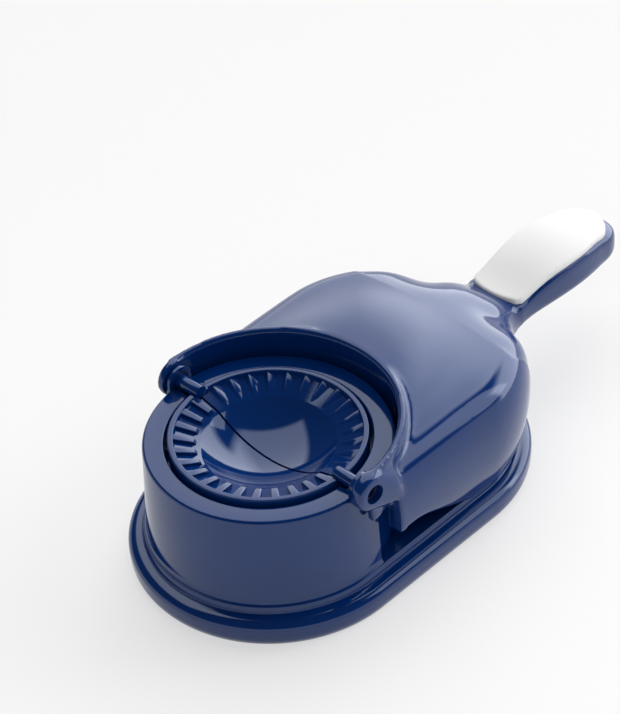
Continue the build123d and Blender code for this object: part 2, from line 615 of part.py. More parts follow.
def lid_shell():
    """Lid with its collar, ears, neck and handle, hollow below the dome and along the handle."""
    body = lid_outer() - lid_cavity()
    posts = dome(LID_WALL / 2, SIDE_FRONT + LID_WALL, LID_BOTTOM)
    for place in LINER_SCREWS:
        body += tube(POST_R, 0, LINER_TOP, DRUM_TOP + 30, place) & posts
        body -= tube(SCREW_R + RUN_FIT, 0, LINER_TOP - 1, LINER_TOP + 9, place)
    for side in (-1, 1):
        body -= cross_tube(BUSH_R + 0.01, 0, EAR_IN - 1, EAR_OUT[side] + 1, side)
    for place in HANDLE_SCREWS:
        body -= tube(SCREW_HEAD_R + SEAT_FIT, 0, HANDLE_LOW_Z - 5, HANDLE_LOW_Z + SCREW_SINK + SCREW_HEAD, place)
    body -= insert_outline(SEAT_FIT / 2, HANDLE_RIM_Z - INSERT_RECESS, HANDLE_RIM_Z + 12)
    body -= insert_outline(-HANDLE_WALL, POST_FOOT_Z, HANDLE_RIM_Z)
    return screw_holes(body, HANDLE_SCREWS, HANDLE_LOW_Z, POST_FOOT_Z + 1)


def insert_outline(grow, bottom, top):
    """Prism with the outline of the white insert, grown or shrunk."""
    start = INSERT_FRONT - grow
    end = INSERT_END + grow
    neck = INSERT_NECK_HALF + grow
    half = INSERT_HALF + grow
    front = ThreePointArc((-neck, start + 4.2), (0, start), (neck, start + 4.2)).edge()
    tip_r = INSERT_TIP_R + grow
    bend = (tip_r, end - tip_r)
    side = Spline((neck, start + 4.2), (neck + 0.1, start + 17), (half, end - 21.5), bend,
                  tangents=[(0, 1), (-0.12, 1)]).edge()
    tip = ThreePointArc(bend, (0, end), (-bend[0], bend[1])).edge()
    outline = make_face(Wire([front, side, tip, mirror(side, about=Plane.YZ).edge()]))
    corners = outline.vertices().filter_by(lambda v: v.Y < start + 5)
    return extrude(Pos(0, 0, bottom) * fillet(corners, 2.0), top - bottom)


def handle_insert():
    """Pale crowned insert on top of the handle, with two posts for its screws."""
    bottom = HANDLE_RIM_Z - INSERT_RECESS
    edge = HANDLE_RIM_Z + INSERT_EDGE
    body = insert_outline(0, bottom, edge + INSERT_CROWN + 3)
    crown_r = (INSERT_HALF ** 2 + INSERT_CROWN ** 2) / (2 * INSERT_CROWN)
    crown_top = edge + INSERT_CROWN
    disc = Plane.XZ * (Pos(0, crown_top - crown_r) * Circle(crown_r))
    body = body & extrude(disc, 240, dir=(0, 1, 0))
    for place in HANDLE_SCREWS:
        body += tube(POST_R, 0, POST_FOOT_Z, bottom + 0.5, place)
        body -= tube(SCREW_R + RUN_FIT, 0, POST_FOOT_Z - 1, HANDLE_LOW_Z + 9.5, place)
    return body


def lid_liner():
    """Plate inside the lid that backs the press plate."""
    plate = dome(LID_WALL + 0.4, SIDE_FRONT + 22, LID_BOTTOM) & block(-90, 90, -90, 200, LINER_Z, LINER_TOP)
    plate -= tube(LIP_R + LIP_THICK + 0.4, 0, 0, 100)
    return screw_holes(plate, LINER_SCREWS, LINER_Z - 1, LINER_TOP + 1)


def press_plate():
    """Round plate that flattens the dough."""
    body = tube(PRESS_R, 0, PRESS_Z, LINER_Z, (0, BED_Y))
    return chamfer(body.edges().group_by(Axis.Z)[0], 0.8)


def dough_bed():
    """Round bed on the base, with a rim round the pad."""
    body = tube(BED_R, 0, PLATFORM_Z, PAD_Z + BED_RIM_RISE, (0, BED_Y))
    body -= tube(BED_R - BED_RIM, 0, PAD_Z, PAD_Z + BED_RIM_RISE + 1, (0, BED_Y))
    return body


def dough_pad():
    """Thin non-stick pad in the bed."""
    return tube(BED_R - BED_RIM - SEAT_FIT, 0, PAD_Z, PAD_Z + PAD_THICK, (0, BED_Y))


# ---------------------------------------------------------------- nodes


def fasteners(places, head_z, tip_z):
    """Group of like screws."""
    return [screw(x, y, head_z, tip_z) for x, y in places]


def build_nodes():
    """All nodes by name."""
    nodes = {
        "base_shell": base_shell(),
        "base_cover": base_cover(),
        "mould_drum": mould_drum(),
        "front_mould_half": front_mould_half(),
        "rear_mould_half": rear_mould_half(),
        "hinge_bush_left": hinge_bush(-1),
        "hinge_bush_right": hinge_bush(1),
        "lid_shell": lid_shell(),
        "lid_liner": lid_liner(),
        "press_plate": press_plate(),
        "handle_insert": handle_insert(),
        "dough_bed": dough_bed(),
        "dough_pad": dough_pad(),
        "cover_screws": fasteners(COVER_SCREWS, COVER_LIFT, COVER_TOP + 7),
        "liner_screws": fasteners(LINER_SCREWS, LINER_Z - SCREW_HEAD, LINER_TOP + 8),
        "handle_screws": fasteners(HANDLE_SCREWS, HANDLE_LOW_Z + SCREW_SINK, HANDLE_LOW_Z + 9),
    }
    for corner, place in FEET.items():
        nodes[f"foot_{corner}"] = foot(place)
    return nodes


if __name__ == "__main__":
    os.makedirs("parts", exist_ok=True)
    for name, shape in build_nodes().items():
        solids = shape if isinstance(shape, list) else [shape]
        export_step(Compound(children=[PLACE * s for s in solids]), f"parts/{name}.step")
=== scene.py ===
"""Dressed model of a hand-operated empanada press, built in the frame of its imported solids."""
from dataclasses import dataclass, field, replace
from enum import Enum
import json
import logging
from math import asin, atan2, cos, hypot, pi, radians, sin
from typing import Callable, Iterable, Sequence

import bmesh
from bmesh.types import BMEdge, BMVert
import bpy
from mathutils import Matrix, Vector
import numpy as np

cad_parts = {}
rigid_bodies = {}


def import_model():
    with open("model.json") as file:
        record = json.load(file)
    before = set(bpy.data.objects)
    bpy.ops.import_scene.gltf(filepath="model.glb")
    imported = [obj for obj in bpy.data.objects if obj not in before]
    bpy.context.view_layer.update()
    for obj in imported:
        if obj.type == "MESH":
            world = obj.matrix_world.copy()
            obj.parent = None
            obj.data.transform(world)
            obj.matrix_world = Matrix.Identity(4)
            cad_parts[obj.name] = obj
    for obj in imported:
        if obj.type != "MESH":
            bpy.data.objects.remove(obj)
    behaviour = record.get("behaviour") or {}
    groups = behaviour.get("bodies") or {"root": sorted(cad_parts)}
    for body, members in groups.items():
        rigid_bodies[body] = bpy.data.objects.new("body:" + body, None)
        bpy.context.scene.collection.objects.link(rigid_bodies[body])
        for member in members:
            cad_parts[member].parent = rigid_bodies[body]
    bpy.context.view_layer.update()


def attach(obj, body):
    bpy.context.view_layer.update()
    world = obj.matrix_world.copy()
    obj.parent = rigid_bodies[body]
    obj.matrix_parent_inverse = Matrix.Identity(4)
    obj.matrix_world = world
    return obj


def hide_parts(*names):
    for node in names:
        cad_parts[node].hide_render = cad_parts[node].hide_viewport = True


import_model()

LOG = logging.getLogger("press")

Point = tuple[float, float]
Point3 = tuple[float, float, float]
Track = tuple[list[float], list[float]]

# The forms are drawn in millimetres from the drum's axis and the table, and moved to the frame at the end.
AXIS_SHIFT = -74.25
TO_FRAME = Matrix.Scale(0.001, 4) @ Matrix.Translation((0.0, AXIS_SHIFT, 0.0))
DRUM_TOP = 58.0
PLATFORM = 15.2
HINGE = 60.35
SPACING = 67.1
ABOVE = (0.0, 0.0, DRUM_TOP + 40)
HANDLE_SCREWS = (150.0, 190.0)


# ---------------------------------------------------------------- curves and helpers


def ramp(value: float, low: float, high: float) -> float:
    """Share of the way from one value to another, eased at both ends."""
    share = min(1.0, max(0.0, (value - low) / (high - low)))
    return share * share * (3 - 2 * share)


def kept(geom: Iterable, kind: type) -> list:
    """Those parts of a mesh that are of one kind."""
    return [part for part in geom if isinstance(part, kind)]


def linked(name: str, data: bpy.types.ID) -> bpy.types.Object:
    """Put a new object into the scene.

    Args:
        name: Name of the object.
        data: What the object shows or gives off.

    Returns:
        The object.
    """
    made = bpy.data.objects.new(name, data)
    bpy.context.scene.collection.objects.link(made)
    return made


def smooth_curve(points: Sequence[Point], start: Point | None = None, end: Point | None = None,
                 steps: int = 10) -> list[Point]:
    """Run a smooth cubic curve through points.

    Args:
        points: Points that the curve passes through.
        start: Direction at the first point, or None to leave it free.
        end: Direction at the last point, or None to leave it free.
        steps: Short runs between two neighbouring points.

    Returns:
        Points along the curve, with both ends.
    """
    place = np.array(points, dtype=float)
    gap = np.linalg.norm(np.diff(place, axis=0), axis=1)
    slope = np.diff(place, axis=0) / gap[:, None]
    count = len(place)
    system = np.zeros((count, count))
    right = np.zeros((count, 2))
    for row in range(1, count - 1):
        system[row, row - 1:row + 2] = gap[row], 2 * (gap[row - 1] + gap[row]), gap[row - 1]
        right[row] = 3 * (gap[row] * slope[row - 1] + gap[row - 1] * slope[row])
    for row, near, way, run in ((0, 1, start, slope[0]), (count - 1, count - 2, end, slope[-1])):
        system[row, row] = 1 if way else 2
        system[row, near] = 0 if way else 1
        right[row] = np.array(way) / np.linalg.norm(way) if way else 3 * run
    pace = np.linalg.solve(system, right)
    track = [tuple(place[0])]
    for row in range(count - 1):
        for step in range(1, steps + 1):
            t = step / steps
            spot = ((2 * t ** 3 - 3 * t ** 2 + 1) * place[row] + (t ** 3 - 2 * t ** 2 + t) * gap[row] * pace[row]
                    + (3 * t ** 2 - 2 * t ** 3) * place[row + 1] + (t ** 3 - t ** 2) * gap[row] * pace[row + 1])
            track.append(tuple(spot))
    return track


def arc_through(first: Point, middle: Point, last: Point, steps: int = 16) -> list[Point]:
    """Points along the circular arc through three points, with both ends.

    Args:
        first: Where the arc starts.
        middle: Point that it passes on its way.
        last: Where the arc ends.
        steps: Short runs in the arc.

    Returns:
        Points along the arc.
    """
    (ax, ay), (bx, by), (cx, cy) = first, middle, last
    d = 2 * (ax * (by - cy) + bx * (cy - ay) + cx * (ay - by))
    a2, b2, c2 = ax * ax + ay * ay, bx * bx + by * by, cx * cx + cy * cy
    ox = (a2 * (by - cy) + b2 * (cy - ay) + c2 * (ay - by)) / d
    oy = (a2 * (cx - bx) + b2 * (ax - cx) + c2 * (bx - ax)) / d
    radius = hypot(ax - ox, ay - oy)
    turn = [atan2(y - oy, x - ox) for x, y in (first, middle, last)]
    sweep = (turn[2] - turn[0]) % (2 * pi)
    if (turn[1] - turn[0]) % (2 * pi) > sweep:
        sweep -= 2 * pi
    return [(ox + radius * cos(turn[0] + sweep * s / steps), oy + radius * sin(turn[0] + sweep * s / steps))
            for s in range(steps + 1)]


def rounded(corners: Sequence[tuple[float, ...]], steps: int = 5) -> list[Point]:
    """Round the corners of a closed outline.

    Args:
        corners: Corners as (x, y) where the corner stays sharp, or (x, y, radius).
        steps: Short runs in each rounding.

    Returns:
        Points of the closed outline.
    """
    outline: list[Point] = []
    count = len(corners)
    for index, corner in enumerate(corners):
        here = Vector(corner[:2])
        if len(corner) < 3:
            outline.append(tuple(here))
            continue
        back = (Vector(corners[index - 1][:2]) - here).normalized()
        ahead = (Vector(corners[(index + 1) % count][:2]) - here).normalized()
        half = back.angle(ahead) / 2
        reach = corner[2] / np.tan(half)
        centre = here + (back + ahead).normalized() * (corner[2] / sin(half))
        begin = here + back * reach - centre
        swing = begin.angle_signed(here + ahead * reach - centre)
        for step in range(steps + 1):
            spoke = Matrix.Rotation(-swing * step / steps, 2) @ begin
            outline.append(tuple(centre + spoke))
    return outline


# ---------------------------------------------------------------- forms


class Cut(Enum):
    """What happens where two forms meet."""

    TAKE = "DIFFERENCE"
    JOIN = "UNION"
    SHARE = "INTERSECT"


class Form:
    """A closed mesh in the making, in millimetres from the drum's axis and the table."""

    def __init__(self) -> None:
        """Start with no faces."""
        self.bm = bmesh.new()

    # ---- first shapes

    def _section(self, points: Iterable[Point], start: float, closed: bool) -> list:
        """Add an upright section at an angle round the drum's axis and return its vertices and edges.

        Args:
            points: Section as (radius, height).
            start: Angle from +X, in degrees.
            closed: Whether the last point joins the first one.

        Returns:
            The new vertices and edges.
        """
        verts = [self.bm.verts.new((r, 0, z)) for r, z in points]
        bmesh.ops.rotate(self.bm, verts=verts, cent=(0, 0, 0), matrix=Matrix.Rotation(radians(start), 3, "Z"))
        ends = verts[1:] + verts[:1] if closed else verts[1:]
        return verts + [self.bm.edges.new(pair) for pair in zip(verts, ends)]

    def turn(self, points: Sequence[Point], start: float = 0.0, arc: float = 360.0, steps: int = 144,
             closed: bool = True, capped: bool = True) -> "Form":
        """Turn an upright section round the Z axis.

        Args:
            points: Section as (radius, height).
            start: First angle from +X, in degrees.
            arc: How far it turns, in degrees.
            steps: Short runs of the turn.
            closed: Whether the section is a closed outline, or runs from axis to axis.
            capped: Whether a part turn gets a face at each end.

        Returns:
            The form itself.
        """
        geom = self._section(points, start, closed)
        whole = arc >= 360
        if capped and not whole:
            geom.append(self.bm.faces.new(kept(geom, BMVert)))
        bmesh.ops.spin(self.bm, geom=geom, cent=(0, 0, 0), axis=(0, 0, 1), angle=radians(arc), steps=steps,
                       use_merge=whole)
        return self.tidy()

    def stadium(self, points: Sequence[Point], steps: int = 96) -> "Form":
        """Carry an open section, from axis to axis, round an outline of two half turns and two straight runs.

        Args:
            points: Section as (radius, height).
            steps: Short runs of each half turn.

        Returns:
            The form itself.
        """
        geom = self._section(points, 0, False)
        for centre, run in ((0, SPACING), (SPACING, -SPACING)):
            last = bmesh.ops.spin(self.bm, geom=geom, cent=(0, centre, 0), axis=(0, 0, 1), angle=-pi,
                                  steps=steps)["geom_last"]
            geom = self.draw(kept(last, BMEdge), (0, run, 0))
        return self.tidy()

    def draw(self, edges: Sequence[BMEdge], way: Point3) -> list:
        """Extrude a row of edges and return the vertices and edges of the new row.

        Args:
            edges: Edges to extrude.
            way: How far the new row lies from the old one.

        Returns:
            The vertices and edges of the new row.
        """
        geom = bmesh.ops.extrude_edge_only(self.bm, edges=edges)["geom"]
        moved = kept(geom, BMVert)
        bmesh.ops.translate(self.bm, vec=way, verts=moved)
        return moved + [edge for edge in kept(geom, BMEdge) if all(v in moved for v in edge.verts)]

    def prism(self, outline: Sequence[Point], low: float, high: float, axis: str = "Z") -> "Form":
        """Give an outline a height along one axis.

        Args:
            outline: Closed outline as (x, y), or as (y, z) for a prism along X.
            low: First level along the axis.
            high: Second level along the axis.
            axis: Z or X.

        Returns:
            The form itself.
        """
        upright = axis == "Z"
        verts = [self.bm.verts.new((a, b, low) if upright else (low, a, b)) for a, b in outline]
        way = (0, 0, high - low) if upright else (high - low, 0, 0)
        face = self.bm.faces.new(verts)
        geom = bmesh.ops.extrude_face_region(self.bm, geom=[face])["geom"]
        bmesh.ops.translate(self.bm, vec=way, verts=kept(geom, BMVert))
        return self.tidy()

    def rod(self, radius: float, low: Point3, high: Point3, steps: int = 64, tip: float | None = None) -> "Form":
        """Add a round rod, or a taper when its tip has its own radius, between two points.

        Args:
            radius: Radius at the first point.
            low: First end of its middle line.
            high: Second end of its middle line.
            steps: Sides of the rod.
            tip: Radius at the second point, or None for the same one.

        Returns:
            The form itself.
        """
        way = Vector(high) - Vector(low)
        aim = way.to_track_quat("Z", "Y").to_matrix().to_4x4()
        place = Matrix.Translation((Vector(low) + Vector(high)) / 2) @ aim
        bmesh.ops.create_cone(self.bm, cap_ends=True, segments=steps, radius1=radius,
                              radius2=radius if tip is None else tip, depth=way.length, matrix=place)
        return self.tidy()

    def block(self, low: Point3, high: Point3) -> "Form":
        """Add a block between two corners.

        Args:
            low: Corner with the smallest numbers.
            high: Corner with the largest numbers.

        Returns:
            The form itself.
        """
        size = Vector(high) - Vector(low)
        place = Matrix.Translation((Vector(low) + Vector(high)) / 2) @ Matrix.Diagonal((*size, 1))
        bmesh.ops.create_cube(self.bm, size=1, matrix=place)
        return self.tidy()

    def hull(self, points: Iterable[Point3]) -> "Form":
        """Add the tight skin round a few points.

        Args:
            points: Points that the skin is drawn round.

        Returns:
            The form itself.
        """
        verts = [self.bm.verts.new(p) for p in points]
        bmesh.ops.convex_hull(self.bm, input=verts)
        return self.tidy()

    def mapped(self, columns: int, rows: int, place: Callable[[int, int], Point3]) -> "Form":
        """Add a grid whose vertices are put in place by column and row, and close its open ends.

        Args:
            columns: Columns of the grid.
            rows: Rows of the grid.
            place: Gives the place of a column and row.

        Returns:
            The form itself.
        """
        bmesh.ops.create_grid(self.bm, x_segments=columns, y_segments=rows, size=0.5)
        for vert in self.bm.verts:
            vert.co = place(round((vert.co.x + 0.5) * columns), round((vert.co.y + 0.5) * rows))
        self.tidy()
        return self.close()

    def axle(self, side: int, radius: float, low: float, high: float, steps: int = 64) -> "Form":
        """Add a round rod on the hinge line, between two distances from the middle on one side."""
        return self.rod(radius, (side * low, 0, HINGE), (side * high, 0, HINGE), steps)

    # ---- changes

    def mesh(self, name: str) -> bpy.types.Mesh:
        """Mesh of the form as it stands.

        Args:
            name: Name of the mesh.

        Returns:
            The mesh.
        """
        made = bpy.data.meshes.new(name)
        self.bm.to_mesh(made)
        return made

    def tidy(self) -> "Form":
        """Merge doubles and point all faces outwards.

        Returns:
            The form itself.
        """
        bmesh.ops.remove_doubles(self.bm, verts=self.bm.verts, dist=0.002)
        bmesh.ops.recalc_face_normals(self.bm, faces=self.bm.faces)
        return self

    def close(self) -> "Form":
        """Fill open ends.

        Returns:
            The form itself.
        """
        edges = [e for e in self.bm.edges if e.is_boundary]
        if edges:
            bmesh.ops.holes_fill(self.bm, edges=edges, sides=0)
        bmesh.ops.recalc_face_normals(self.bm, faces=self.bm.faces)
        return self

    def trim(self, spot: Point3, away: Point3) -> "Form":
        """Cut off what lies beyond a plane on the side that `away` points to, and close the cut.

        Args:
            spot: Point on the plane.
            away: Direction of what is cut off.

        Returns:
            The form itself.
        """
        geom = self.bm.verts[:] + self.bm.edges[:] + self.bm.faces[:]
        bmesh.ops.bisect_plane(self.bm, geom=geom, plane_co=spot, plane_no=away, clear_outer=True, dist=1e-4)
        return self.close()

    def move(self, matrix: Matrix) -> "Form":
        """Move the whole form."""
        bmesh.ops.transform(self.bm, matrix=matrix, verts=self.bm.verts)
        return self

    def bevel(self, width: float, angle: float = 35.0, segments: int = 3,
              where: Callable[[Vector], bool] = lambda spot: True) -> "Form":
        """Round the edges that are sharper than an angle, where the test on their middle says so.

        Args:
            width: Width of the rounding.
            angle: Edges flatter than this stay, in degrees.
            segments: Runs across the rounding.
            where: Test on the middle of an edge.

        Returns:
            The form itself.
        """
        edges = [e for e in self.bm.edges if len(e.link_faces) == 2 and e.calc_face_angle(0) > radians(angle)
                 and where((e.verts[0].co + e.verts[1].co) / 2)]
        bmesh.ops.bevel(self.bm, geom=edges, offset=width, affect="EDGES", segments=segments, profile=0.5,
                        material=-1, clamp_overlap=True)
        return self

    def smooth(self, times: int, where: Callable[[Vector], bool] = lambda spot: True) -> "Form":
        """Even out the vertices that pass a test on their place.

        Args:
            times: How often each vertex moves towards its neighbours.
            where: Test on the place of a vertex.

        Returns:
            The form itself.
        """
        verts = [v for v in self.bm.verts if where(v.co)]
        axes = {f"use_axis_{axis}": True for axis in "xyz"}
        for _ in range(times):
            bmesh.ops.smooth_vert(self.bm, verts=verts, factor=0.5, **axes)
        return self

    def add(self, *others: "Form") -> "Form":
        """Take in other forms as they are.

        Args:
            others: Forms to take in, which stay as they are.

        Returns:
            The form itself.
        """
        for other in others:
            mesh = other.mesh("part")
            self.bm.from_mesh(mesh)
            bpy.data.meshes.remove(mesh)
        return self

    def _through(self, kind: str, **settings: object) -> "Form":
        """Send the form through one of Blender's modifiers.

        Args:
            kind: Type of the modifier.
            settings: Its properties.

        Returns:
            The form itself.
        """
        mesh = self.mesh("work")
        holder = linked("work", mesh)
        step = holder.modifiers.new("work", kind)
        for name, value in settings.items():
            setattr(step, name, value)
        result = bpy.data.meshes.new_from_object(holder.evaluated_get(bpy.context.evaluated_depsgraph_get()))
        self.bm.clear()
        self.bm.from_mesh(result)
        bpy.data.objects.remove(holder)
        bpy.data.meshes.remove(mesh)
        bpy.data.meshes.remove(result)
        return self

    def meet(self, cut: Cut, *others: "Form") -> "Form":
        """Take away, join or keep what is shared with other forms, one after the other.

        Args:
            cut: What happens to what is shared.
            others: Forms to meet, which stay as they are.

        Returns:
            The form itself.
        """
        for other in others:
            mesh = other.mesh("tool")
            tool = linked("tool", mesh)
            self._through("BOOLEAN", operation=cut.value, solver="EXACT", object=tool)
            bpy.data.objects.remove(tool)
            bpy.data.meshes.remove(mesh)
        return self

    def remesh(self, size: float) -> "Form":
        """Fuse everything into one even skin."""
        return self._through("REMESH", mode="VOXEL", voxel_size=size, adaptivity=0)

    def piece(self, name: str, body: str, finish: "Finish", *nodes: str, crease: float = 32.0) -> bpy.types.Object:
        """Finish the form as a piece of the model.

        Args:
            name: Name of the piece.
            body: Body that carries it.
            finish: Finish that it is dressed in.
            nodes: Solids that it stands for.
            crease: Edges sharper than this stay sharp, in degrees.

        Returns:
            The finished object.
        """
        self.move(TO_FRAME)
        mesh = self.mesh(name)
        self.bm.free()
        mesh.shade_smooth()
        mesh.set_sharp_from_angle(angle=radians(crease))
        mesh.materials.append(finish.material())
        made = linked(name, mesh)
        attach(made, body)
        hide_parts(*nodes)
        LOG.info("%s: %d faces on %s", name, len(mesh.polygons), body)
        return made


# ---------------------------------------------------------------- finishes


class Reading:
    """A number that changes over a surface, for use in Python's own expressions."""

    def __init__(self, shader: "Nodes", socket: bpy.types.NodeSocket) -> None:
        """Hold a socket of a shader."""
        self.shader = shader
        self.socket = socket

    def _maths(self, operation: str, first: "Reading | float", second: "Reading | float") -> "Reading":
        """Add a Math node and read its result."""
        return self.shader.read("ShaderNodeMath", {"operation": operation}, {0: first, 1: second})

    def __add__(self, other: "Reading | float") -> "Reading":
        """Sum."""
        return self._maths("ADD", self, other)

    def __mul__(self, other: "Reading | float") -> "Reading":
        """Product."""
        return self._maths("MULTIPLY", self, other)

    def __sub__(self, other: "Reading | float") -> "Reading":
        """Difference."""
        return self._maths("SUBTRACT", self, other)

    def __rsub__(self, other: "Reading | float") -> "Reading":
        """Difference from a number."""
        return self._maths("SUBTRACT", other, self)

    def clamped(self) -> "Reading":
        """Keep within nought and one."""
        return self.shader.read("ShaderNodeClamp", {}, {"Value": self})


class Nodes:
    """Nodes of a material or of the surroundings, added one by one."""

    def __init__(self, tree: bpy.types.NodeTree) -> None:
        """Hold the tree that the nodes go into."""
        self.tree = tree

    def node(self, kind: str, settings: dict[str, object], inputs: dict[str | int, object]) -> bpy.types.Node:
        """Add a node.

        Args:
            kind: Type of the node.
            settings: Its properties, set first.
            inputs: Values or readings for its sockets.

        Returns:
            The node.
        """
        made = self.tree.nodes.new(kind)
        for name, value in settings.items():
            setattr(made, name, value)
        for key, value in inputs.items():
            self.feed(made.inputs[key], value)
        return made

    def feed(self, socket: bpy.types.NodeSocket, value: object) -> None:
        """Give a socket a value or a link.

        Args:
            socket: Socket to feed.
            value: Number, colour, vector, reading or socket.
        """
        if isinstance(value, Reading):
            self.tree.links.new(value.socket, socket)
        elif isinstance(value, bpy.types.NodeSocket):
            self.tree.links.new(value, socket)
        else:
            socket.default_value = value

    def read(self, kind: str, settings: dict[str, object], inputs: dict[str | int, object],
             output: str | int = 0) -> Reading:
        """Add a node and read one of its outputs."""
        return Reading(self, self.node(kind, settings, inputs).outputs[output])


class Shader(Nodes):
    """A material of one Principled shader."""

    def __init__(self, name: str) -> None:
        """Start the material.

        Args:
            name: Name of the material.
        """
        self.material = bpy.data.materials.new(name)
        self.material.use_nodes = True
        super().__init__(self.material.node_tree)
        self.surface = self.tree.nodes["Principled BSDF"]
        self.output = self.tree.nodes["Material Output"]

    def cloud(self, scale: float, detail: float = 2.0, roughness: float = 0.5) -> Reading:
        """Soft random pattern in the model's frame, with so many lumps to the metre.

        Args:
            scale: Lumps to the metre.
            detail: Finer lumps laid over the first ones.
            roughness: Share of the finer lumps.

        Returns:
            The pattern, about nought to one.
        """
        spot = self.node("ShaderNodeTexCoord", {}, {}).outputs["Object"]
        return self.read("ShaderNodeTexNoise", {"noise_dimensions": "3D"},
                         {"Vector": spot, "Scale": scale, "Detail": detail, "Roughness": roughness}, "Fac")

    def tint(self, share: Reading, low: Point3, high: Point3) -> bpy.types.NodeSocket:
        """Colour between two colours.

        Args:
            share: Nought for the first colour, one for the second.
            low: First colour.
            high: Second colour.

        Returns:
            The colour's socket.
        """
        made = self.node("ShaderNodeValToRGB", {}, {"Fac": share})
        for stop, colour in zip(made.color_ramp.elements, (low, high)):
            stop.color = (*colour, 1)
        return made.outputs["Color"]

    def relief(self, height: Reading, depth: float) -> None:
        """Give the surface a fine relief of so many metres."""
        bump = self.node("ShaderNodeBump", {}, {"Height": height, "Strength": 1, "Distance": depth})
        self.feed(self.surface.inputs["Normal"], bump.outputs["Normal"])


def shade(red: int, green: int, blue: int) -> Point3:
    """Linear colour from the three numbers of a display colour."""
    parts = [value / 255 for value in (red, green, blue)]
    return tuple(p / 12.92 if p <= 0.04045 else ((p + 0.055) / 1.055) ** 2.4 for p in parts)


@dataclass(frozen=True)
class Finish:
    """How a kind of surface looks: its colours, gloss and fine relief."""

    name: str
    slot: str
    light: Point3
    dark: Point3
    patch: float = 60.0
    gloss_from: float = 0.2
    gloss_to: float = 0.3
    grain: float = 900.0
    depth: float = 0.00001
    metal: float = 0.0
    specular: float = 0.5
    ior: float = 1.45
    sheen_tint: Point3 = (1.0, 1.0, 1.0)

    def material(self) -> bpy.types.Material:
        """Material of this finish, made once.

        Returns:
            The material.
        """
        if self.name in bpy.data.materials:
            return bpy.data.materials[self.name]
        shader = Shader(self.name)
        cloud = shader.cloud(self.patch, 3)
        grain = shader.cloud(self.grain, 2, 0.6)
        mix = (cloud * 0.7 + grain * 0.3).clamped()
        for name, value in {
            "Base Color": shader.tint(cloud, self.dark, self.light),
            "Roughness": mix * (self.gloss_to - self.gloss_from) + self.gloss_from,
            "Metallic": self.metal,
            "Specular IOR Level": self.specular,
            "IOR": self.ior,
            "Specular Tint": (*self.sheen_tint, 1),
        }.items():
            shader.feed(shader.surface.inputs[name], value)
        shader.relief(grain, self.depth)
        return shader.material


BLUE_TINT = (0.74, 0.83, 1.0)
NAVY = Finish("blue_gloss_moulding", "navy_gloss", shade(0, 44, 106), shade(0, 38, 96), gloss_from=0.05,
              gloss_to=0.08, grain=500, depth=0.000004, ior=1.6, sheen_tint=BLUE_TINT)
NAVY_TOP = replace(NAVY, name="blue_lid_moulding", slot="navy_satin", gloss_from=0.08, gloss_to=0.12)
NAVY_INSIDE = Finish("blue_hollow_moulding", "navy_satin", shade(4, 36, 86), shade(0, 26, 72),
                     gloss_from=0.4, gloss_to=0.55, grain=1400, depth=0.00002)
WHITE = Finish("white_moulding", "insert_white", shade(238, 238, 237), shade(234, 234, 234), gloss_from=0.6,
               gloss_to=0.7, specular=0.12, grain=1200, depth=0.000012)
PAD = Finish("grey_pad_rubber", "pad_grey", shade(122, 124, 128), shade(104, 106, 111), gloss_from=0.5,
             gloss_to=0.7, grain=2500, depth=0.00003)
RUBBER = Finish("black_foot_rubber", "foot_rubber", shade(52, 53, 55), shade(38, 39, 41), gloss_from=0.65,
                gloss_to=0.85, grain=3000, depth=0.00004)
STEEL = Finish("bright_screw_steel", "screw_steel", shade(190, 191, 193), shade(160, 161, 164), patch=400.0,
               gloss_from=0.25, gloss_to=0.42, grain=4000, depth=0.00001, metal=1)


# ---------------------------------------------------------------- base


@dataclass
class BaseHousing:
    """Hollow base: skirt, bead and groove round the foot of drum and bed."""

    bead: float = 52.2
    bead_half: float = 0.55
    bead_rise: float = 0.45
    groove: float = 12.3
    skirt: float = 59.4
    skirt_level: float = 7.0
    edge: float = 0.9
    wall: float = 2.6

    def section(self) -> list[Point]:
        """Half section: over the platform, down the skirt, and back inside.

        Returns:
            Section as (radius, height), from axis to axis.
        """
        outside = (self.bead + self.bead_half, PLATFORM - 0.25)
        bead = arc_through((self.bead - self.bead_half, PLATFORM), (self.bead, PLATFORM + self.bead_rise),
                           outside, 6)
        foot = self.bead + 1.4
        band = (foot + 0.6, self.groove)
        groove = smooth_curve([outside, (self.bead + 0.9, 13.6), (foot, self.groove), band],
                              (0.2, -1), (1, -0.2), 5)
        skirt = smooth_curve([
            band, (foot + 2.9, self.groove - 0.62), (self.skirt - 1.1, self.groove - 1.65),
            (self.skirt - 0.35, self.groove - 2.6), (self.skirt, self.skirt_level), (self.skirt - 0.5, 2.6),
            (self.skirt - 1.4, self.edge)], (1, -0.24), (-0.6, -1), 8)
        hollow = self.skirt - self.wall
        inner = smooth_curve([(hollow, 4.6), (foot, PLATFORM - 5.8), (self.bead - 1.4, PLATFORM - self.wall)],
                             (0, 1), (-1, 0.2), 6)
        return [(0, PLATFORM), *bead, *groove[1:], *skirt[1:], (hollow, self.edge), *inner,
                (0, PLATFORM - self.wall)]

    def build(self) -> None:
        """Make the housing."""
        Form().stadium(self.section()).piece("base_housing", "base", NAVY, "base_shell")


# ---------------------------------------------------------------- drum


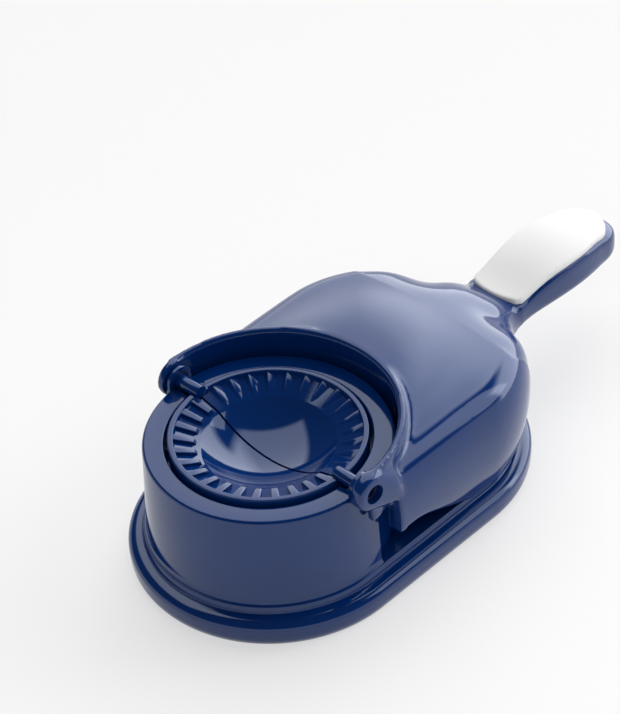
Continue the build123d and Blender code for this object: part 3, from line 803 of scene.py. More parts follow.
@dataclass
class Drum:
    """Drum with its rounded ring, stepped rear wall, cup, hinge lugs and the notches for the folding half."""

    radius: float = 50.0
    foot: float = 51.5
    wall: float = 2.6
    ring: float = 3.4
    ring_round: float = 1.5
    opening: float = 41.25
    opening_round: float = 0.9
    sleeve: float = 2.0
    cup: float = 39.0
    cup_floor: float = 2.4
    cut_angle: float = 9.0
    step: float = 3.2
    lug_radius: float = 6.2
    lug_in: float = 48.5
    lug_out: float = 50.4
    bore: float = 4.25
    notch: float = 3.3

    def section(self, step: float) -> list[Point]:
        """Closed section of the wall, ring and sleeve, with the wall stepped in.

        Args:
            step: How far the wall stands back under the ring, nought in front.

        Returns:
            Section as (radius, height).
        """
        low = DRUM_TOP - self.ring
        floor = PLATFORM + 0.05
        edge = self.radius + (self.foot - self.radius) * self.ring / (DRUM_TOP - PLATFORM)
        sleeve = self.opening + self.sleeve
        corners: list[tuple[float, ...]] = [
            (self.opening, DRUM_TOP, self.opening_round), (self.opening, self.cup), (sleeve, self.cup),
            (sleeve, low), (edge - step - self.wall, low), (self.foot - step - self.wall, floor)]
        if step:
            corners += [(self.foot - step, floor), (edge - step, low), (edge, low, 0.5)]
        else:
            corners += smooth_curve([(self.foot + 1.15, floor + 0.2), (self.foot + 0.5, floor + 0.6),
                                     (self.foot + 0.1, floor + 1.5), (self.foot - 0.12, floor + 3.2)],
                                    (-1, 0.1), (-0.03, 1), 5)
        return rounded(corners + [(self.radius, DRUM_TOP, self.ring_round)], 6)

    def lug(self, side: int) -> Form:
        """Lug that stands up from the ring at one side.

        Args:
            side: -1 for the left, 1 for the right.

        Returns:
            The lug.
        """
        x0, x1 = sorted((side * self.lug_in, side * self.lug_out))
        turned = [(self.lug_radius * cos(radians(a)), HINGE + self.lug_radius * sin(radians(a)))
                  for a in range(0, 181, 5)]
        outline = turned + [(-self.lug_radius, DRUM_TOP - 2.2), (self.lug_radius, DRUM_TOP - 2.2)]
        return Form().prism(outline, x0, x1, "X").bevel(0.55, 50, 3, lambda spot: spot.z > DRUM_TOP + 0.5)

    def build(self) -> None:
        """Make the drum."""
        sweep = 180 + 2 * self.cut_angle
        body = Form().turn(self.section(0), 180 - self.cut_angle, sweep, 150)
        rear = Form().turn(self.section(self.step), self.cut_angle, 360 - sweep, 120)
        floor = Form().rod(self.opening + 0.5, (0, 0, self.cup), (0, 0, self.cup + self.cup_floor), 144)
        body.meet(Cut.JOIN, rear, floor, self.lug(-1), self.lug(1))
        for side in (-1, 1):
            x0, x1 = sorted((side * (self.opening - 2), side * self.lug_in))
            notch = Form().block((x0, -self.notch, DRUM_TOP - self.ring - 1), (x1, self.notch, DRUM_TOP + 9))
            body.meet(Cut.TAKE, notch, Form().axle(side, self.bore, self.lug_in - 1, self.lug_out + 1))
        body.piece("drum", "base", NAVY, "mould_drum")


# ---------------------------------------------------------------- mould


class Half(Enum):
    """The two halves of the mould."""

    FRONT = "front_mould_half"
    REAR = "rear_mould_half"


@dataclass
class Mould:
    """Folding mould: a bowl split along the hinge line, with a crimping band of teeth."""

    radius: float = 39.9
    rim: float = 2.3
    wall: float = 2.2
    band: float = 27.6
    band_drop: float = 2.9
    band_rise: float = 0.2
    depth: float = 12.4
    skirt: float = 6.0
    gap: float = 1.0
    teeth: int = 15
    tooth: float = 1.4
    tooth_share: float = 0.42
    stub: float = 2.9
    stub_in: float = 36.8
    stub_out: float = 51.4
    rim_level: float = HINGE - 0.15
    post: float = 3.6
    post_low: float = 41.4
    posts: tuple[Point, ...] = ((-13.0, -11.0), (13.0, -11.0))

    def level(self, r: float) -> float:
        """Height of the crimping band at a radius."""
        share = (r - self.band) / (self.radius - self.rim - 0.4 - self.band)
        return DRUM_TOP - self.band_drop + share * (self.band_drop - self.band_rise)

    def section(self) -> list[Point]:
        """Closed half section of the dish, with a soft turn from bowl to band and a rounded rim.

        Returns:
            Section as (radius, height).
        """
        top = DRUM_TOP
        inner = self.radius - self.rim
        rise = self.depth - self.band_drop
        ball = (self.band ** 2 + rise ** 2) / (2 * rise)
        centre = top - self.depth + ball
        bowl = [(ball * sin(a), centre - ball * cos(a)) for a in np.linspace(0, asin(self.band / ball), 26)]
        back = [((ball + self.wall) * sin(a), centre - (ball + self.wall) * cos(a))
                for a in np.linspace(asin((self.band + 0.6) / (ball + self.wall)), 0, 18)]
        rim = rounded([(inner - 0.4, top - self.band_rise, 0.3), (inner, self.rim_level, 0.45),
                       (self.radius, self.rim_level, 0.6), (self.radius, top - self.skirt),
                       (self.radius - self.wall, top - self.skirt),
                       (self.radius - self.wall, top - self.band_rise - self.wall), back[0]], 4)
        return bowl + rim[:-1] + back

    def square_tooth(self, angle: float) -> Form:
        """Square rib of the fixed half.

        Args:
            angle: Place of its middle, in degrees from +X.

        Returns:
            The rib.
        """
        inner, outer = self.band + 0.8, self.radius - self.rim + 0.2
        width = 180 / self.teeth * self.tooth_share
        section = [(inner, self.level(inner) - 0.3), (outer, self.level(outer) - 0.3),
                   (outer, self.level(outer) + self.tooth), (inner + 1, self.level(inner + 1) + self.tooth)]
        return Form().turn(section, angle - width / 2, width, 3).bevel(0.22, 50, 2)

    def pointed_tooth(self, angle: float) -> Form:
        """Pointed ridge of the folding half, which fades towards the bowl.

        Args:
            angle: Place of its middle, in degrees from +X.

        Returns:
            The ridge.
        """
        inner, outer = self.band + 0.6, self.radius - self.rim + 0.2
        half = outer * sin(radians(90 / self.teeth)) * 0.9
        lean = half * 0.35
        high, low = self.level(outer), self.level(inner)
        ridge = Form().hull([
            (outer, -half, high - 0.5), (outer, half, high - 0.5), (outer, lean, high + self.tooth * 1.15),
            (inner, -half / 2, low - 0.5), (inner, half / 2, low - 0.5), (inner, lean / 2, low + 0.15)])
        return ridge.bevel(0.16, 30, 2).move(Matrix.Rotation(radians(angle), 4, "Z"))

    def dish(self, half: Half) -> Form:
        """One half without its teeth, cut along the fold line.

        Args:
            half: Which half.

        Returns:
            The half dish.
        """
        front = half is Half.FRONT
        body = Form().turn(self.section(), 180 if front else 0, 180, 150)
        edge = -self.gap / 2 if front else self.gap / 2
        body.trim((0, edge, 0), (0, 1 if front else -1, 0))
        return body

    def build(self) -> None:
        """Make both halves."""
        pitch = 180 / self.teeth
        front = self.dish(Half.FRONT)
        for side in (-1, 1):
            front.meet(Cut.TAKE, Form().axle(side, self.stub + 0.4, self.stub_in - 0.4, self.radius + 2))
        front.add(*(self.square_tooth(180 + pitch * (index + 0.5)) for index in range(self.teeth)))
        for x, y in self.posts:
            front.add(Form().rod(self.post, (x, y, self.post_low), (x, y, DRUM_TOP - self.depth + 0.6)))
        front.piece("mould_front", "base", NAVY, Half.FRONT.value)
        rear = self.dish(Half.REAR)
        rear.add(*(self.pointed_tooth(pitch * index) for index in range(1, self.teeth)))
        for side in (-1, 1):
            x0, x1 = sorted((side * self.stub_in, side * (self.radius - 0.4)))
            rear.add(Form().block((x0, self.gap / 2, DRUM_TOP - self.skirt), (x1, 4.1, self.rim_level)).bevel(0.4),
                     Form().axle(side, self.stub, self.stub_in, self.stub_out, 48).bevel(0.3, 50, 2))
        rear.piece("mould_rear", "flap", NAVY, Half.REAR.value)


# ---------------------------------------------------------------- lid


@dataclass
class Lid:
    """Lid with its dome, collar round the drum, ears, neck and handle in one moulding."""

    insert: "HandleInsert"
    radius: float = 58.2
    foot: float = 54.5
    centre: float = 70.5
    tilt: float = 5.0
    crown: float = 8.5
    saddle: float = 6.0
    saddle_place: float = 19.0
    saddle_half: float = 18.0
    bend_start: float = 45.0
    bend_reach: float = 83.5
    bend_run: float = 60.0
    wall: float = 2.5
    bottom: float = 15.8
    lip_radius: float = 51.5
    lip_thick: float = 3.2
    lip_rise: float = 10.4
    lip_tilt: float = 1.8
    lip_drop: float = 14.0
    lift_reach: float = 44.0
    lift_from: float = 2.4
    lift_half: float = 49.0
    lift_side: float = 38.0
    side_front: float = 12.5
    side_drop: float = 26.8
    side_run: float = 46.0
    ear_radius: float = 8.0
    ear_in: float = 50.85
    ear_out: dict[int, float] = field(default_factory=lambda: {-1: 54.45, 1: 56.65})
    bore: float = 4.21
    handle_start: float = 104.0
    handle_end: float = 206.2
    handle_tip: float = 14.6
    handle_rim: float = 44.0
    handle_low: float = 32.6
    pocket: float = 3.1
    pocket_deep: float = 2.4
    insert_play: float = 0.12
    runs: int = 40
    neck_rounds: int = 160
    voxel: float = 0.85

    def dome_section(self, inset: float) -> list[Point]:
        """Half section of the dome from its foot over the shoulder to the crown.

        Args:
            inset: How far the section stands inside the outer skin.

        Returns:
            Section as (radius, height), from axis to axis.
        """
        top, deep, steps = DRUM_TOP, self.bottom - 12, 14
        edge = smooth_curve([
            (self.foot - 2.6 - inset, deep), (self.foot - inset, self.bottom),
            (self.radius - 1.1 - inset, top - 31), (self.radius - inset, top - 16),
            (self.radius - 1.6 - inset * 0.9, top - 5.5 - inset * 0.2),
            (self.radius - 5.4 - inset * 0.7, top + 1.2 - inset * 0.7),
            (self.radius - 10.4 - inset * 0.4, top + self.crown - 4.4 - inset), (0, top + self.crown - inset),
        ], (0.3, 1), (-1, 0), steps)
        before = edge[-steps - 1]
        crown = smooth_curve([before, (24, top + self.crown - 1.2 - inset), edge[-1]], None, (-1, 0), 16)
        return [(0, deep), *edge[:-steps], *crown]

    def lean(self, spot: Vector, inset: float) -> Vector:
        """Bend a place back towards the neck, lift it behind the collar, and dip it beside the neck.

        Args:
            spot: Place on the upright dome.
            inset: How far that skin stands inside the outer one.

        Returns:
            The place on the finished dome.
        """
        x, y, z = spot
        reach = max(0, min(self.bend_reach, y - self.bend_start))
        slope = sin(radians(self.tilt)) * min(1, reach / self.bend_run)
        drop = sin(radians(self.tilt)) * reach ** 2 / (2 * self.bend_run)
        behind = hypot(x, y) - self.lip_radius - self.lip_thick
        if z > DRUM_TOP + self.lift_from - inset and abs(x) < self.lift_half:
            collar = DRUM_TOP + self.lip_rise + sin(radians(self.lip_tilt)) * min(y, 52) - 0.15 - inset
            blend = ramp(self.lift_reach - behind, 0, self.lift_reach)
            blend *= ramp(self.lift_half - abs(x), 0, self.lift_side)
            z += max(0, collar - (z - drop)) * blend
        flank = max(0, 1 - ((abs(x) - self.saddle_place) / self.saddle_half) ** 2) ** 2
        for value, low, high in ((y, 97, 117), (hypot(x, y - self.centre), 33, 52), (z, 28, 50)):
            flank *= ramp(value, low, high)
        return Vector((x, y + (spot.z - DRUM_TOP - 4) * slope, z - drop - self.saddle * flank))

    def dome(self, inset: float, front: float, bottom: float) -> Form:
        """Dome whose middle section runs forward as the lid's straight sides, with a fine even mesh on top.

        Args:
            inset: How far it stands inside the outer skin.
            front: Distance at which the straight sides end.
            bottom: Level at which it is cut off.

        Returns:
            The dome as a closed form.
        """
        form = Form().turn(self.dome_section(inset), 0, 180, 120, closed=False, capped=False)
        form.move(Matrix.Translation((0, self.centre, 0)))
        edges = [e for e in form.bm.edges if e.is_boundary]
        run = (front - self.centre) / self.runs
        for _ in range(self.runs):
            edges = kept(form.draw(edges, (0, run, 0)), BMEdge)
        form.tidy()
        for vert in form.bm.verts:
            vert.co = self.lean(vert.co, inset)
        form.close()
        return form.trim((0, 0, bottom), (0, 0, -1))

    def half_width(self) -> Track:
        """Half width of neck and handle against distance, as two lists for interpolation.

        Returns:
            Distances and half widths.
        """
        bend = (self.handle_tip, self.handle_end - self.handle_tip)
        side = smooth_curve([(24, self.handle_start), (21.5, 114), (18.8, 124), (15.9, 132), (14.6, 139),
                             (15.2, 152), (16.4, 168), (15.9, 182), bend], (-0.25, 1), (-0.12, 1), 8)
        tip = [(self.handle_tip * cos(a), bend[1] + self.handle_tip * sin(a)) for a in np.linspace(0, pi / 2, 40)]
        outline = side + tip[1:]
        return [y for _, y in outline], [x for x, _ in outline]

    def levels(self) -> tuple[Track, Track]:
        """Upper and lower level of neck and handle against distance.

        Returns:
            Distances and upper levels, distances and lower levels.
        """
        rim, low, start, end = self.handle_rim, self.handle_low, self.handle_start, self.handle_end - 5
        upper = smooth_curve([(start, rim + 13.6), (115, rim + 12.6), (120, rim + 11.4), (124.5, rim + 9),
                              (128.5, rim + 5.6), (132, rim + 2.5), (136, rim + 0.5), (144, rim),
                              (165, rim + 0.5), (end, rim)], (1, -0.05), (1, -0.1), 8)
        upper = [(y, z + self.insert.arch(y)) for y, z in upper]
        lower = smooth_curve([(start, low - 2), (128, low - 0.8), (145, low), (175, low),
                              (end, low - 1)], None, None, 8)
        tip = arc_through(upper[-1], (self.handle_end, low + 2.6), (end, low - 1), 60)
        far = max(range(len(tip)), key=lambda i: tip[i][0])
        upper += tip[1:far + 1]
        lower += tip[::-1][1:len(tip) - far]
        return tuple(([y for y, _ in run], [z for _, z in run]) for run in (upper, lower))

    def handle(self) -> Form:
        """Neck and handle: rounded sections set side by side, narrowing at the tip.

        Returns:
            Neck and handle as a closed form.
        """
        width_at, (upper_at, lower_at) = self.half_width(), self.levels()
        rows, columns = 120, 56

        def ring(row: int) -> tuple[float, list[Point]]:
            """Distance and rounded section of one row.

            Args:
                row: Number of the row, from the neck.

            Returns:
                Distance, and the section as (x, z).
            """
            share = row / rows
            y = self.handle_start + (self.handle_end - 0.02 - self.handle_start) * (1 - (1 - share) ** 1.8)
            half = max(0.15, float(np.interp(y, *width_at)))
            high = float(np.interp(y, *upper_at))
            low = min(high - 0.3, float(np.interp(y, *lower_at)))
            tall = high - low
            soft = min(4.6, half * 0.9, tall * 0.45)
            hard = min(float(np.interp(y, (112, 124, 138), (13, 8, 2.2))), half * 0.9, tall * 0.45)
            corners = [(-half, low, soft), (half, low, soft), (half, high, hard), (-half, high, hard)]
            return y, rounded(corners, columns // 4 - 1)

        rings = [ring(row) for row in range(rows + 1)]

        def place(column: int, row: int) -> Point3:
            """Vertex of the skin.

            Args:
                column: Number of the point in its section.
                row: Number of the section, from the neck.

            Returns:
                The vertex.
            """
            y, outline = rings[row]
            x, z = outline[column % columns]
            return x, y, z

        return Form().mapped(columns, rows, place)

    def collar(self) -> Form:
        """Raised collar round the drum, softly rounded on top and tilted up towards the back.

        Returns:
            The collar.
        """
        outer = self.lip_radius + self.lip_thick
        top, low = DRUM_TOP + self.lip_rise, DRUM_TOP - self.lip_drop
        section = rounded([(self.lip_radius, low), (outer, low), (outer, top, 0.9),
                           (self.lip_radius, top, 2.2)], 7)
        form = Form().turn(section, 0, 180, 150)
        hinge = Matrix.Translation((0, 0, HINGE))
        return form.move(hinge @ Matrix.Rotation(radians(self.lip_tilt), 4, "X") @ hinge.inverted())

    def ear(self, side: int) -> Form:
        """Ear that takes the bush, rounded in front and running back into the side wall.

        Args:
            side: -1 for the left, 1 for the right.

        Returns:
            The ear.
        """
        outer = self.ear_out[side]
        form = Form().axle(side, self.ear_radius, self.ear_in, outer, 96)
        form.bevel(1.5, 50, 4, lambda spot: abs(spot.x) > (self.ear_in + outer) / 2)
        root = [(self.ear_in, 48), (57.5, 48), (57.8, 54), (56.4, 58.5), (53.5, 61.5), (self.ear_in, 62.5)]
        return Form().hull([tuple(vert.co) for vert in form.bm.verts] +
                           [(side * x, self.side_front + 2.5, z) for x, z in root])

    def outside(self) -> Form:
        """Everything outside the lid, fused into one even skin.

        Returns:
            The skin.
        """
        front, deep = self.side_front, DRUM_TOP - self.side_drop
        end = front + self.side_run
        lower = smooth_curve([(front + 6, deep), (front + 24, deep - 5.6), (end, self.bottom)],
                             (1, 0), (1, -0.25), 12)
        below = [(front - 30, 0), (front - 30, deep), *lower, (end, 0)]
        shell = self.dome(0, front, self.bottom)
        shell.meet(Cut.TAKE, Form().prism(below, -80, 80, "X"))
        drum = Form().rod(self.lip_radius + self.lip_thick / 3, (0, 0, -1), ABOVE, 180)
        shell.meet(Cut.TAKE, drum)
        bar = self.handle().meet(Cut.TAKE, drum)
        shell.add(bar, self.collar(), self.ear(-1), self.ear(1))
        shell.remesh(self.voxel)
        edge = self.lip_radius + self.lip_thick

        def away(spot: Vector) -> bool:
            """Whether a place lies clear of collar, ears and rims."""
            return hypot(spot.x, spot.y) > edge + 1.5 and spot.z > self.bottom + 1.5 and spot.y > front + 4

        def neck(spot: Vector) -> bool:
            """Whether a place lies where dome and handle run into each other."""
            return abs(spot.x) < 44 and 97 < spot.y < 136 and spot.z > 34

        def cheek(spot: Vector) -> bool:
            """Whether a place lies outside the collar, where it meets the dome."""
            return hypot(spot.x, spot.y) > edge - 0.4 and spot.y < 60 and spot.z > 52 and spot.y > 3

        return shell.smooth(3).smooth(14, away).smooth(self.neck_rounds, neck).smooth(8, cheek)

    def inside(self) -> Form:
        """Hollow below the dome, closed in front by the wall behind the drum.

        Returns:
            The hollow as a closed form.
        """
        hollow = self.dome(self.wall, self.side_front + self.wall, self.bottom - 3)
        wall = Form().rod(self.lip_radius + self.wall, (0, 0, DRUM_TOP - self.lip_drop), ABOVE, 180)
        return hollow.meet(Cut.TAKE, wall)

    def build(self) -> None:
        """Make the lid, hollow and with its pockets and bores."""
        body = self.outside()
        body.meet(Cut.TAKE, self.inside())
        for side, outer in self.ear_out.items():
            body.meet(Cut.TAKE, Form().axle(side, self.bore, self.ear_in - 1, outer + 1))
        for y in HANDLE_SCREWS:
            top = self.handle_low + self.pocket_deep
            body.meet(Cut.TAKE, Form().rod(self.pocket, (0, y, self.handle_low - 5), (0, y, top), 48))
        floor, above = self.handle_rim - self.insert.recess, self.handle_rim + 12
        body.meet(Cut.TAKE, Form().prism(self.insert.outline(self.insert_play), floor, above))
        body.piece("lid", "lid", NAVY_TOP, "lid_shell")


@dataclass
class HandleInsert:
    """Pale crowned insert let into the top of the handle."""

    front: float = 132.4
    end: float = 200.8
    half: float = 15.0
    neck: float = 12.8
    tip: float = 13.0
    rim: float = 44.0
    recess: float = 1.6
    edge: float = 1.9
    crown: float = 2.0
    boss: float = 3.6
    boss_low: float = 36.4
    voxel: float = 0.42
    rise: list[Point] = field(default_factory=lambda: smooth_curve(
        [(110, 0), (130, 0), (140, 1.1), (152, 3.4), (165, 4.7), (178, 4.2), (191, 2.2),
         (203, 0.3), (210, 0)], (1, 0), (1, 0), 8))

    def outline(self, grow: float) -> list[Point]:
        """Closed outline from above, grown or shrunk.

        Args:
            grow: How far it grows on all sides.

        Returns:
            Points as (x, y).
        """
        start, end = self.front - grow, self.end + grow
        neck, half, tip = self.neck + grow, self.half + grow, self.tip + grow
        bow = arc_through((-neck + 1.2, start + 3.3), (0, start), (neck - 1.2, start + 3.3), 14)
        side = smooth_curve([(neck, start + 5.6), (neck + 0.5, start + 17), (half, start + 36),
                             (half - 0.5, end - 21.5), (tip, end - tip)], (0, 1), (-0.12, 1), 8)
        nose = [(tip * cos(a), end - tip + tip * sin(a)) for a in np.linspace(0, pi, 40)]
        return bow + side + nose[1:-1] + [(-x, y) for x, y in side[::-1]]

    def arch(self, y: float) -> float:
        """How far the handle's top rises along its length above a flat one."""
        return float(np.interp(y, *zip(*self.rise)))

    def build(self) -> None:
        """Make the insert."""
        low = self.rim - self.recess
        edge = self.rim + self.edge
        body = Form().prism(self.outline(0), low, edge + self.crown + 3)
        ball = (self.half ** 2 + self.crown ** 2) / (2 * self.crown)
        level = edge + self.crown - ball
        crown = Form().rod(ball, (0, self.front - 10, level), (0, self.end + 10, level), 360)
        body.meet(Cut.SHARE, crown)
        body.remesh(self.voxel).smooth(8)
        for vert in body.bm.verts:
            share = min(1, max(0, (vert.co.z - low) / (edge - low)))
            vert.co.z += share * self.arch(vert.co.y)
        for y in HANDLE_SCREWS:
            body.add(Form().rod(self.boss, (0, y, self.boss_low), (0, y, low + 0.4), 48))
        body.piece("handle_insert_cover", "lid", WHITE, "handle_insert")


# ---------------------------------------------------------------- hinge, station, feet and screws


@dataclass
class HingeBush:
    """Hollow bush in an ear, on which the lid turns in the drum's lug."""

    radius: float = 4.2
    bore: float = 2.95
    inner: float = 48.7
    outer: float = 54.25

    def build(self) -> None:
        """Make both bushes."""
        for name, side in (("left", -1), ("right", 1)):
            section = rounded([(self.bore, self.inner), (self.radius, self.inner), (self.radius, self.outer, 0.3),
                               (self.bore, self.outer, 0.3)], 4)
            form = Form().turn(section, 0, 360, 64).move(Matrix.Rotation(side * pi / 2, 4, "Y"))
            form.move(Matrix.Translation((0, 0, HINGE)))
            form.piece(f"bush_{name}", "lid", NAVY_INSIDE, f"hinge_bush_{name}")


@dataclass
class DoughStation:
    """Dough bed with its pad below the lid, and the press plate above it."""

    place: float = 86.0
    bed: float = 30.5
    rim: float = 1.8
    rim_top: float = 25.0
    pad_level: float = 23.8
    pad: float = 1.0
    press: float = 28.0
    press_low: float = 26.4
    press_high: float = 30.4

    def build(self) -> None:
        """Make bed, pad and press plate."""
        inner = self.bed - self.rim
        pad, pad_top = inner - 0.2, self.pad_level + self.pad
        discs = (
            ("dough_bed", "base", NAVY, [(0, self.pad_level), *rounded(
                [(inner, self.pad_level), (inner, self.rim_top, 0.6), (self.bed, self.rim_top, 0.7),
                 (self.bed, PLATFORM)], 5), (0, PLATFORM)]),
            ("dough_pad", "base", PAD, rounded(
                [(0, self.pad_level), (pad, self.pad_level), (pad, pad_top, 0.3), (0, pad_top)], 3)),
            ("press_plate", "lid", NAVY_INSIDE, rounded(
                [(0, self.press_low), (self.press, self.press_low, 0.8), (self.press, self.press_high),
                 (0, self.press_high)], 4)),
        )
        for node, body, finish, section in discs:
            form = Form().turn(section, closed=False).move(Matrix.Translation((0, self.place, 0)))
            form.piece(f"{node}_cover", body, finish, node)


@dataclass
class Feet:
    """Four rubber feet with a shallow dish below."""

    radius: float = 7.0
    high: float = 2.6
    places: dict[str, Point] = field(default_factory=lambda: {
        "front_left": (-38, -14), "front_right": (38, -14),
        "rear_left": (-38, 81), "rear_right": (38, 81)})

    def build(self) -> None:
        """Make the feet."""
        section = [(0, 0.35), (3.4, 0.35), (3.8, 0)] + rounded(
            [(self.radius, 0, 0.6), (self.radius, self.high, 0.2), (0, self.high), (3.8, 0)], 4)[:-1]
        for corner, (x, y) in self.places.items():
            foot = Form().turn(section, 0, 360, 64, closed=False).move(Matrix.Translation((x, y, 0)))
            foot.piece(f"rubber_foot_{corner}", "base", RUBBER, f"foot_{corner}")


@dataclass
class Screws:
    """Pan-head screws with a cross recess, in their three groups."""

    shank: float = 1.5
    head: float = 2.9
    tall: float = 1.8
    cover_ring: float = 44.0
    cover_angle: float = 65.0

    def screw(self, length: float) -> Form:
        """Screw that points up from its head at nought.

        Args:
            length: Length over all.

        Returns:
            The screw.
        """
        section = rounded([(0, 0), (self.head * 0.55, 0.02, 1), (self.head, 0.75, 0.5),
                           (self.head, self.tall, 0.15), (self.shank, self.tall, 0.2),
                           (self.shank, length - 1.6, 0.3), (0, length)], 4)
        form = Form().turn(section, 0, 360, 40, closed=False)
        for turn in (0, 90):
            slot = Form().hull([(x * s, y * t, z) for z, s, t in ((-0.2, 1.5, 0.42), (1.1, 0.7, 0.26))
                                for x in (-1, 1) for y in (-1, 1)])
            form.meet(Cut.TAKE, slot.move(Matrix.Rotation(radians(turn), 4, "Z")))
        return form

    def build(self) -> None:
        """Make the groups."""
        turn = radians(self.cover_angle)
        reach = self.cover_ring * cos(turn)
        ends = (-self.cover_ring * sin(turn), SPACING + self.cover_ring * sin(turn))
        groups = {
            "cover_screws": ("base", 1.6, 11.8, [(x, y) for x in (-reach, reach) for y in ends]),
            "liner_screws": ("lid", 28.6, 40.8, [(-42, 64), (42, 64), (-31, 98), (31, 98)]),
            "handle_screws": ("lid", 33.2, 41.6, [(0, y) for y in HANDLE_SCREWS]),
        }
        for index, (name, (body, low, high, places)) in enumerate(groups.items()):
            group = Form()
            for count, (x, y) in enumerate(places):
                turned = Matrix.Rotation(radians(23 * count + 31 * index), 4, "Z")
                group.add(self.screw(high - low).move(Matrix.Translation((x, y, low)) @ turned))
            group.piece(f"{name}_set", body, STEEL, name, crease=40)


def dress_solids() -> None:
    """Give the plates that stay as they are their own finish."""
    for node in ("base_cover", "lid_liner"):
        made = next(o for o in bpy.data.objects if o.type == "MESH" and o.name.split(".")[0] == node)
        for slot in made.material_slots:
            slot.material = NAVY_INSIDE.material()
        LOG.info("%s: dressed as it is", node)


# ---------------------------------------------------------------- studio


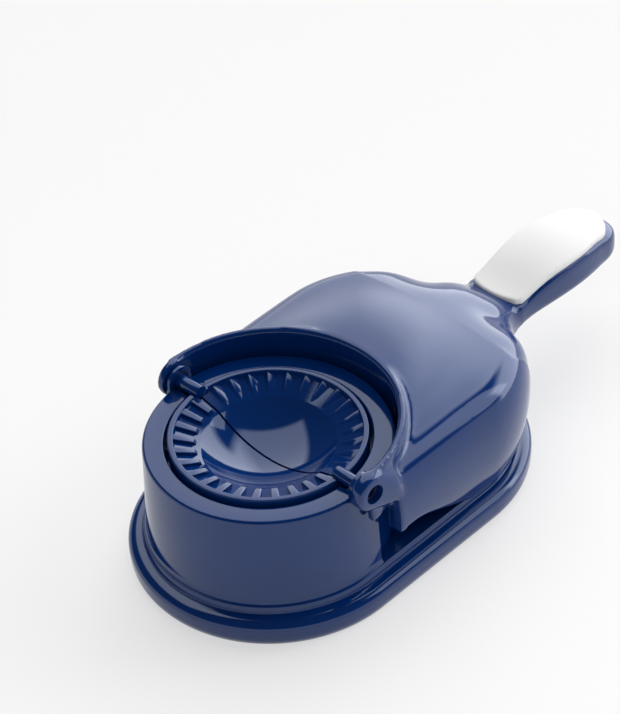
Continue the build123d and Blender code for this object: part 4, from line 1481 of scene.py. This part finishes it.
@dataclass
class Studio:
    """Pale floor, soft lamps and the camera."""

    camera: Point3 = (0.7494, -0.70907 - 0.07425, 0.91191 + 0.058)
    turn: float = 45.56
    tip: float = 40.23
    roll: float = 3.86
    lens: float = 3500 * 36 / 714
    floor_glow: float = 0.55
    room: float = 0.06
    panel_glow: float = 2.5
    panel_sharp: float = 14.0
    glow_way: Point3 = (0.3, 0.95, 0.0)
    gap: Point3 = (-0.79, -0.383, 0.478)
    gap_half: float = 0.07
    gap_sharp: float = 7.5
    panel_edges: tuple[Point3, Point3] = ((0.734, -0.648, 0.182), (-0.506, -0.691, -0.515))
    lamps: tuple[tuple[str, float, float, float, float, float, float], ...] = (
        ("strip", 139, 34, 1.10, 0.55, 0.78, 2.1),
        ("fill", 30, 48, 1.30, 1.20, 1.00, 1.1),
    )

    def build(self) -> None:
        """Make floor, lamps, world and camera."""
        self.floor()
        for lamp in self.lamps:
            self.lamp(*lamp)
        self.world()
        self.view()

    def floor(self) -> None:
        """Large pale floor whose shadows stay while it shows near white."""
        form = Form()
        bmesh.ops.create_grid(form.bm, x_segments=8, y_segments=8, size=3)
        mesh = form.mesh("floor")
        form.bm.free()
        made = linked("floor", mesh)
        shader = Shader("floor_paper")
        cloud = shader.cloud(3)
        tint = shader.tint(cloud, shade(244, 243, 243), shade(246, 246, 246))
        for name, value in (("Base Color", tint), ("Roughness", cloud * 0.1 + 0.85), ("Specular IOR Level", 0.1)):
            shader.feed(shader.surface.inputs[name], value)
        glow = shader.node("ShaderNodeEmission", {}, {"Color": (1, 1, 1, 1), "Strength": 1})
        rays = shader.node("ShaderNodeLightPath", {}, {})
        camera, glossy, through = (Reading(shader, rays.outputs[f"Is {kind} Ray"])
                                   for kind in ("Camera", "Glossy", "Transmission"))
        seen = camera + glossy + through
        mix = shader.node("ShaderNodeMixShader", {}, {
            0: seen.clamped() * self.floor_glow, 1: shader.surface.outputs["BSDF"], 2: glow.outputs["Emission"]})
        shader.feed(shader.output.inputs["Surface"], mix.outputs[0])
        mesh.materials.append(shader.material)

    def lamp(self, name: str, bearing: float, height: float, distance: float, wide: float, tall: float,
             glow: float) -> None:
        """Soft rectangular lamp that faces the press.

        Args:
            name: Name of the lamp.
            bearing: Degrees from the front, towards +X.
            height: Degrees above the floor.
            distance: Metres from the press.
            wide: Width in metres.
            tall: Height in metres.
            glow: Brightness of its face, where 1 is white.
        """
        light = bpy.data.lights.new(name, "AREA")
        light.shape = "RECTANGLE"
        light.size, light.size_y = wide, tall
        light.energy = glow * pi * wide * tall
        made = linked(name, light)
        made.visible_glossy = name != "fill"
        way = Vector((sin(radians(bearing)) * cos(radians(height)), -cos(radians(bearing)) * cos(radians(height)),
                      sin(radians(height))))
        place = way * distance + Vector((0, -0.02, 0.04))
        made.matrix_world = Matrix.Translation(place) @ way.to_track_quat("Z", "Y").to_matrix().to_4x4()

    def world(self) -> None:
        """Dim room above a white horizon, with one large bright panel behind on the left that leans overhead."""
        world = bpy.data.worlds.new("room")
        world.use_nodes = True
        sky = Nodes(world.node_tree)
        way = sky.node("ShaderNodeTexCoord", {}, {}).outputs["Generated"]

        def along(axis: Point3) -> Reading:
            """How far a direction points along an axis."""
            return sky.read("ShaderNodeVectorMath", {"operation": "DOT_PRODUCT"}, {0: way, 1: axis}, "Value")

        panel = 1
        for edge in self.panel_edges:
            panel = (0.5 - along(edge) * self.panel_sharp).clamped() * panel
        height = sky.read("ShaderNodeSeparateXYZ", {}, {0: way}, "Z")
        fade = 1 - ((along(self.gap) - self.gap_half) * self.gap_sharp).clamped()
        panel = panel * (1 - fade * (height * 10 - 5.6).clamped())
        glow = ((along(self.glow_way) - 0.46) * 7).clamped() * 0.68 + 0.8
        horizon = (2 - height * 10).clamped()
        room = horizon * (1 - self.room) + self.room
        level = room * (1 - panel) + panel * glow * self.panel_glow
        background = sky.tree.nodes["Background"].inputs
        sky.feed(background["Strength"], level)
        sky.feed(background["Color"], (1, 1, 1, 1))
        bpy.context.scene.world = world

    def view(self) -> None:
        """Camera from the front right, a little rolled."""
        data = bpy.data.cameras.new("camera")
        data.lens, data.sensor_width, data.clip_end = self.lens, 36, 20
        made = linked("camera", data)
        turn, tip, roll = radians(self.turn), radians(self.tip), radians(self.roll)
        back = Vector((sin(turn) * cos(tip), -cos(turn) * cos(tip), sin(tip)))
        right = Vector((cos(turn), sin(turn), 0))
        up = back.cross(right)
        across = right * cos(roll) - up * sin(roll)
        along = right * sin(roll) + up * cos(roll)
        made.matrix_world = Matrix.Translation(self.camera) @ Matrix((across, along, back)).transposed().to_4x4()
        bpy.context.scene.camera = made


def main() -> None:
    """Build the press piece by piece, then the studio round it."""
    logging.basicConfig(level=logging.INFO, format="%(name)s: %(message)s")
    insert = HandleInsert()
    parts = (BaseHousing(), Drum(), Mould(), Lid(insert), insert, HingeBush(), DoughStation(), Feet(), Screws())
    for part in parts:
        part.build()
    dress_solids()
    Studio().build()
    bpy.context.scene.view_settings.view_transform = "Standard"


if __name__ == "__main__":
    main()
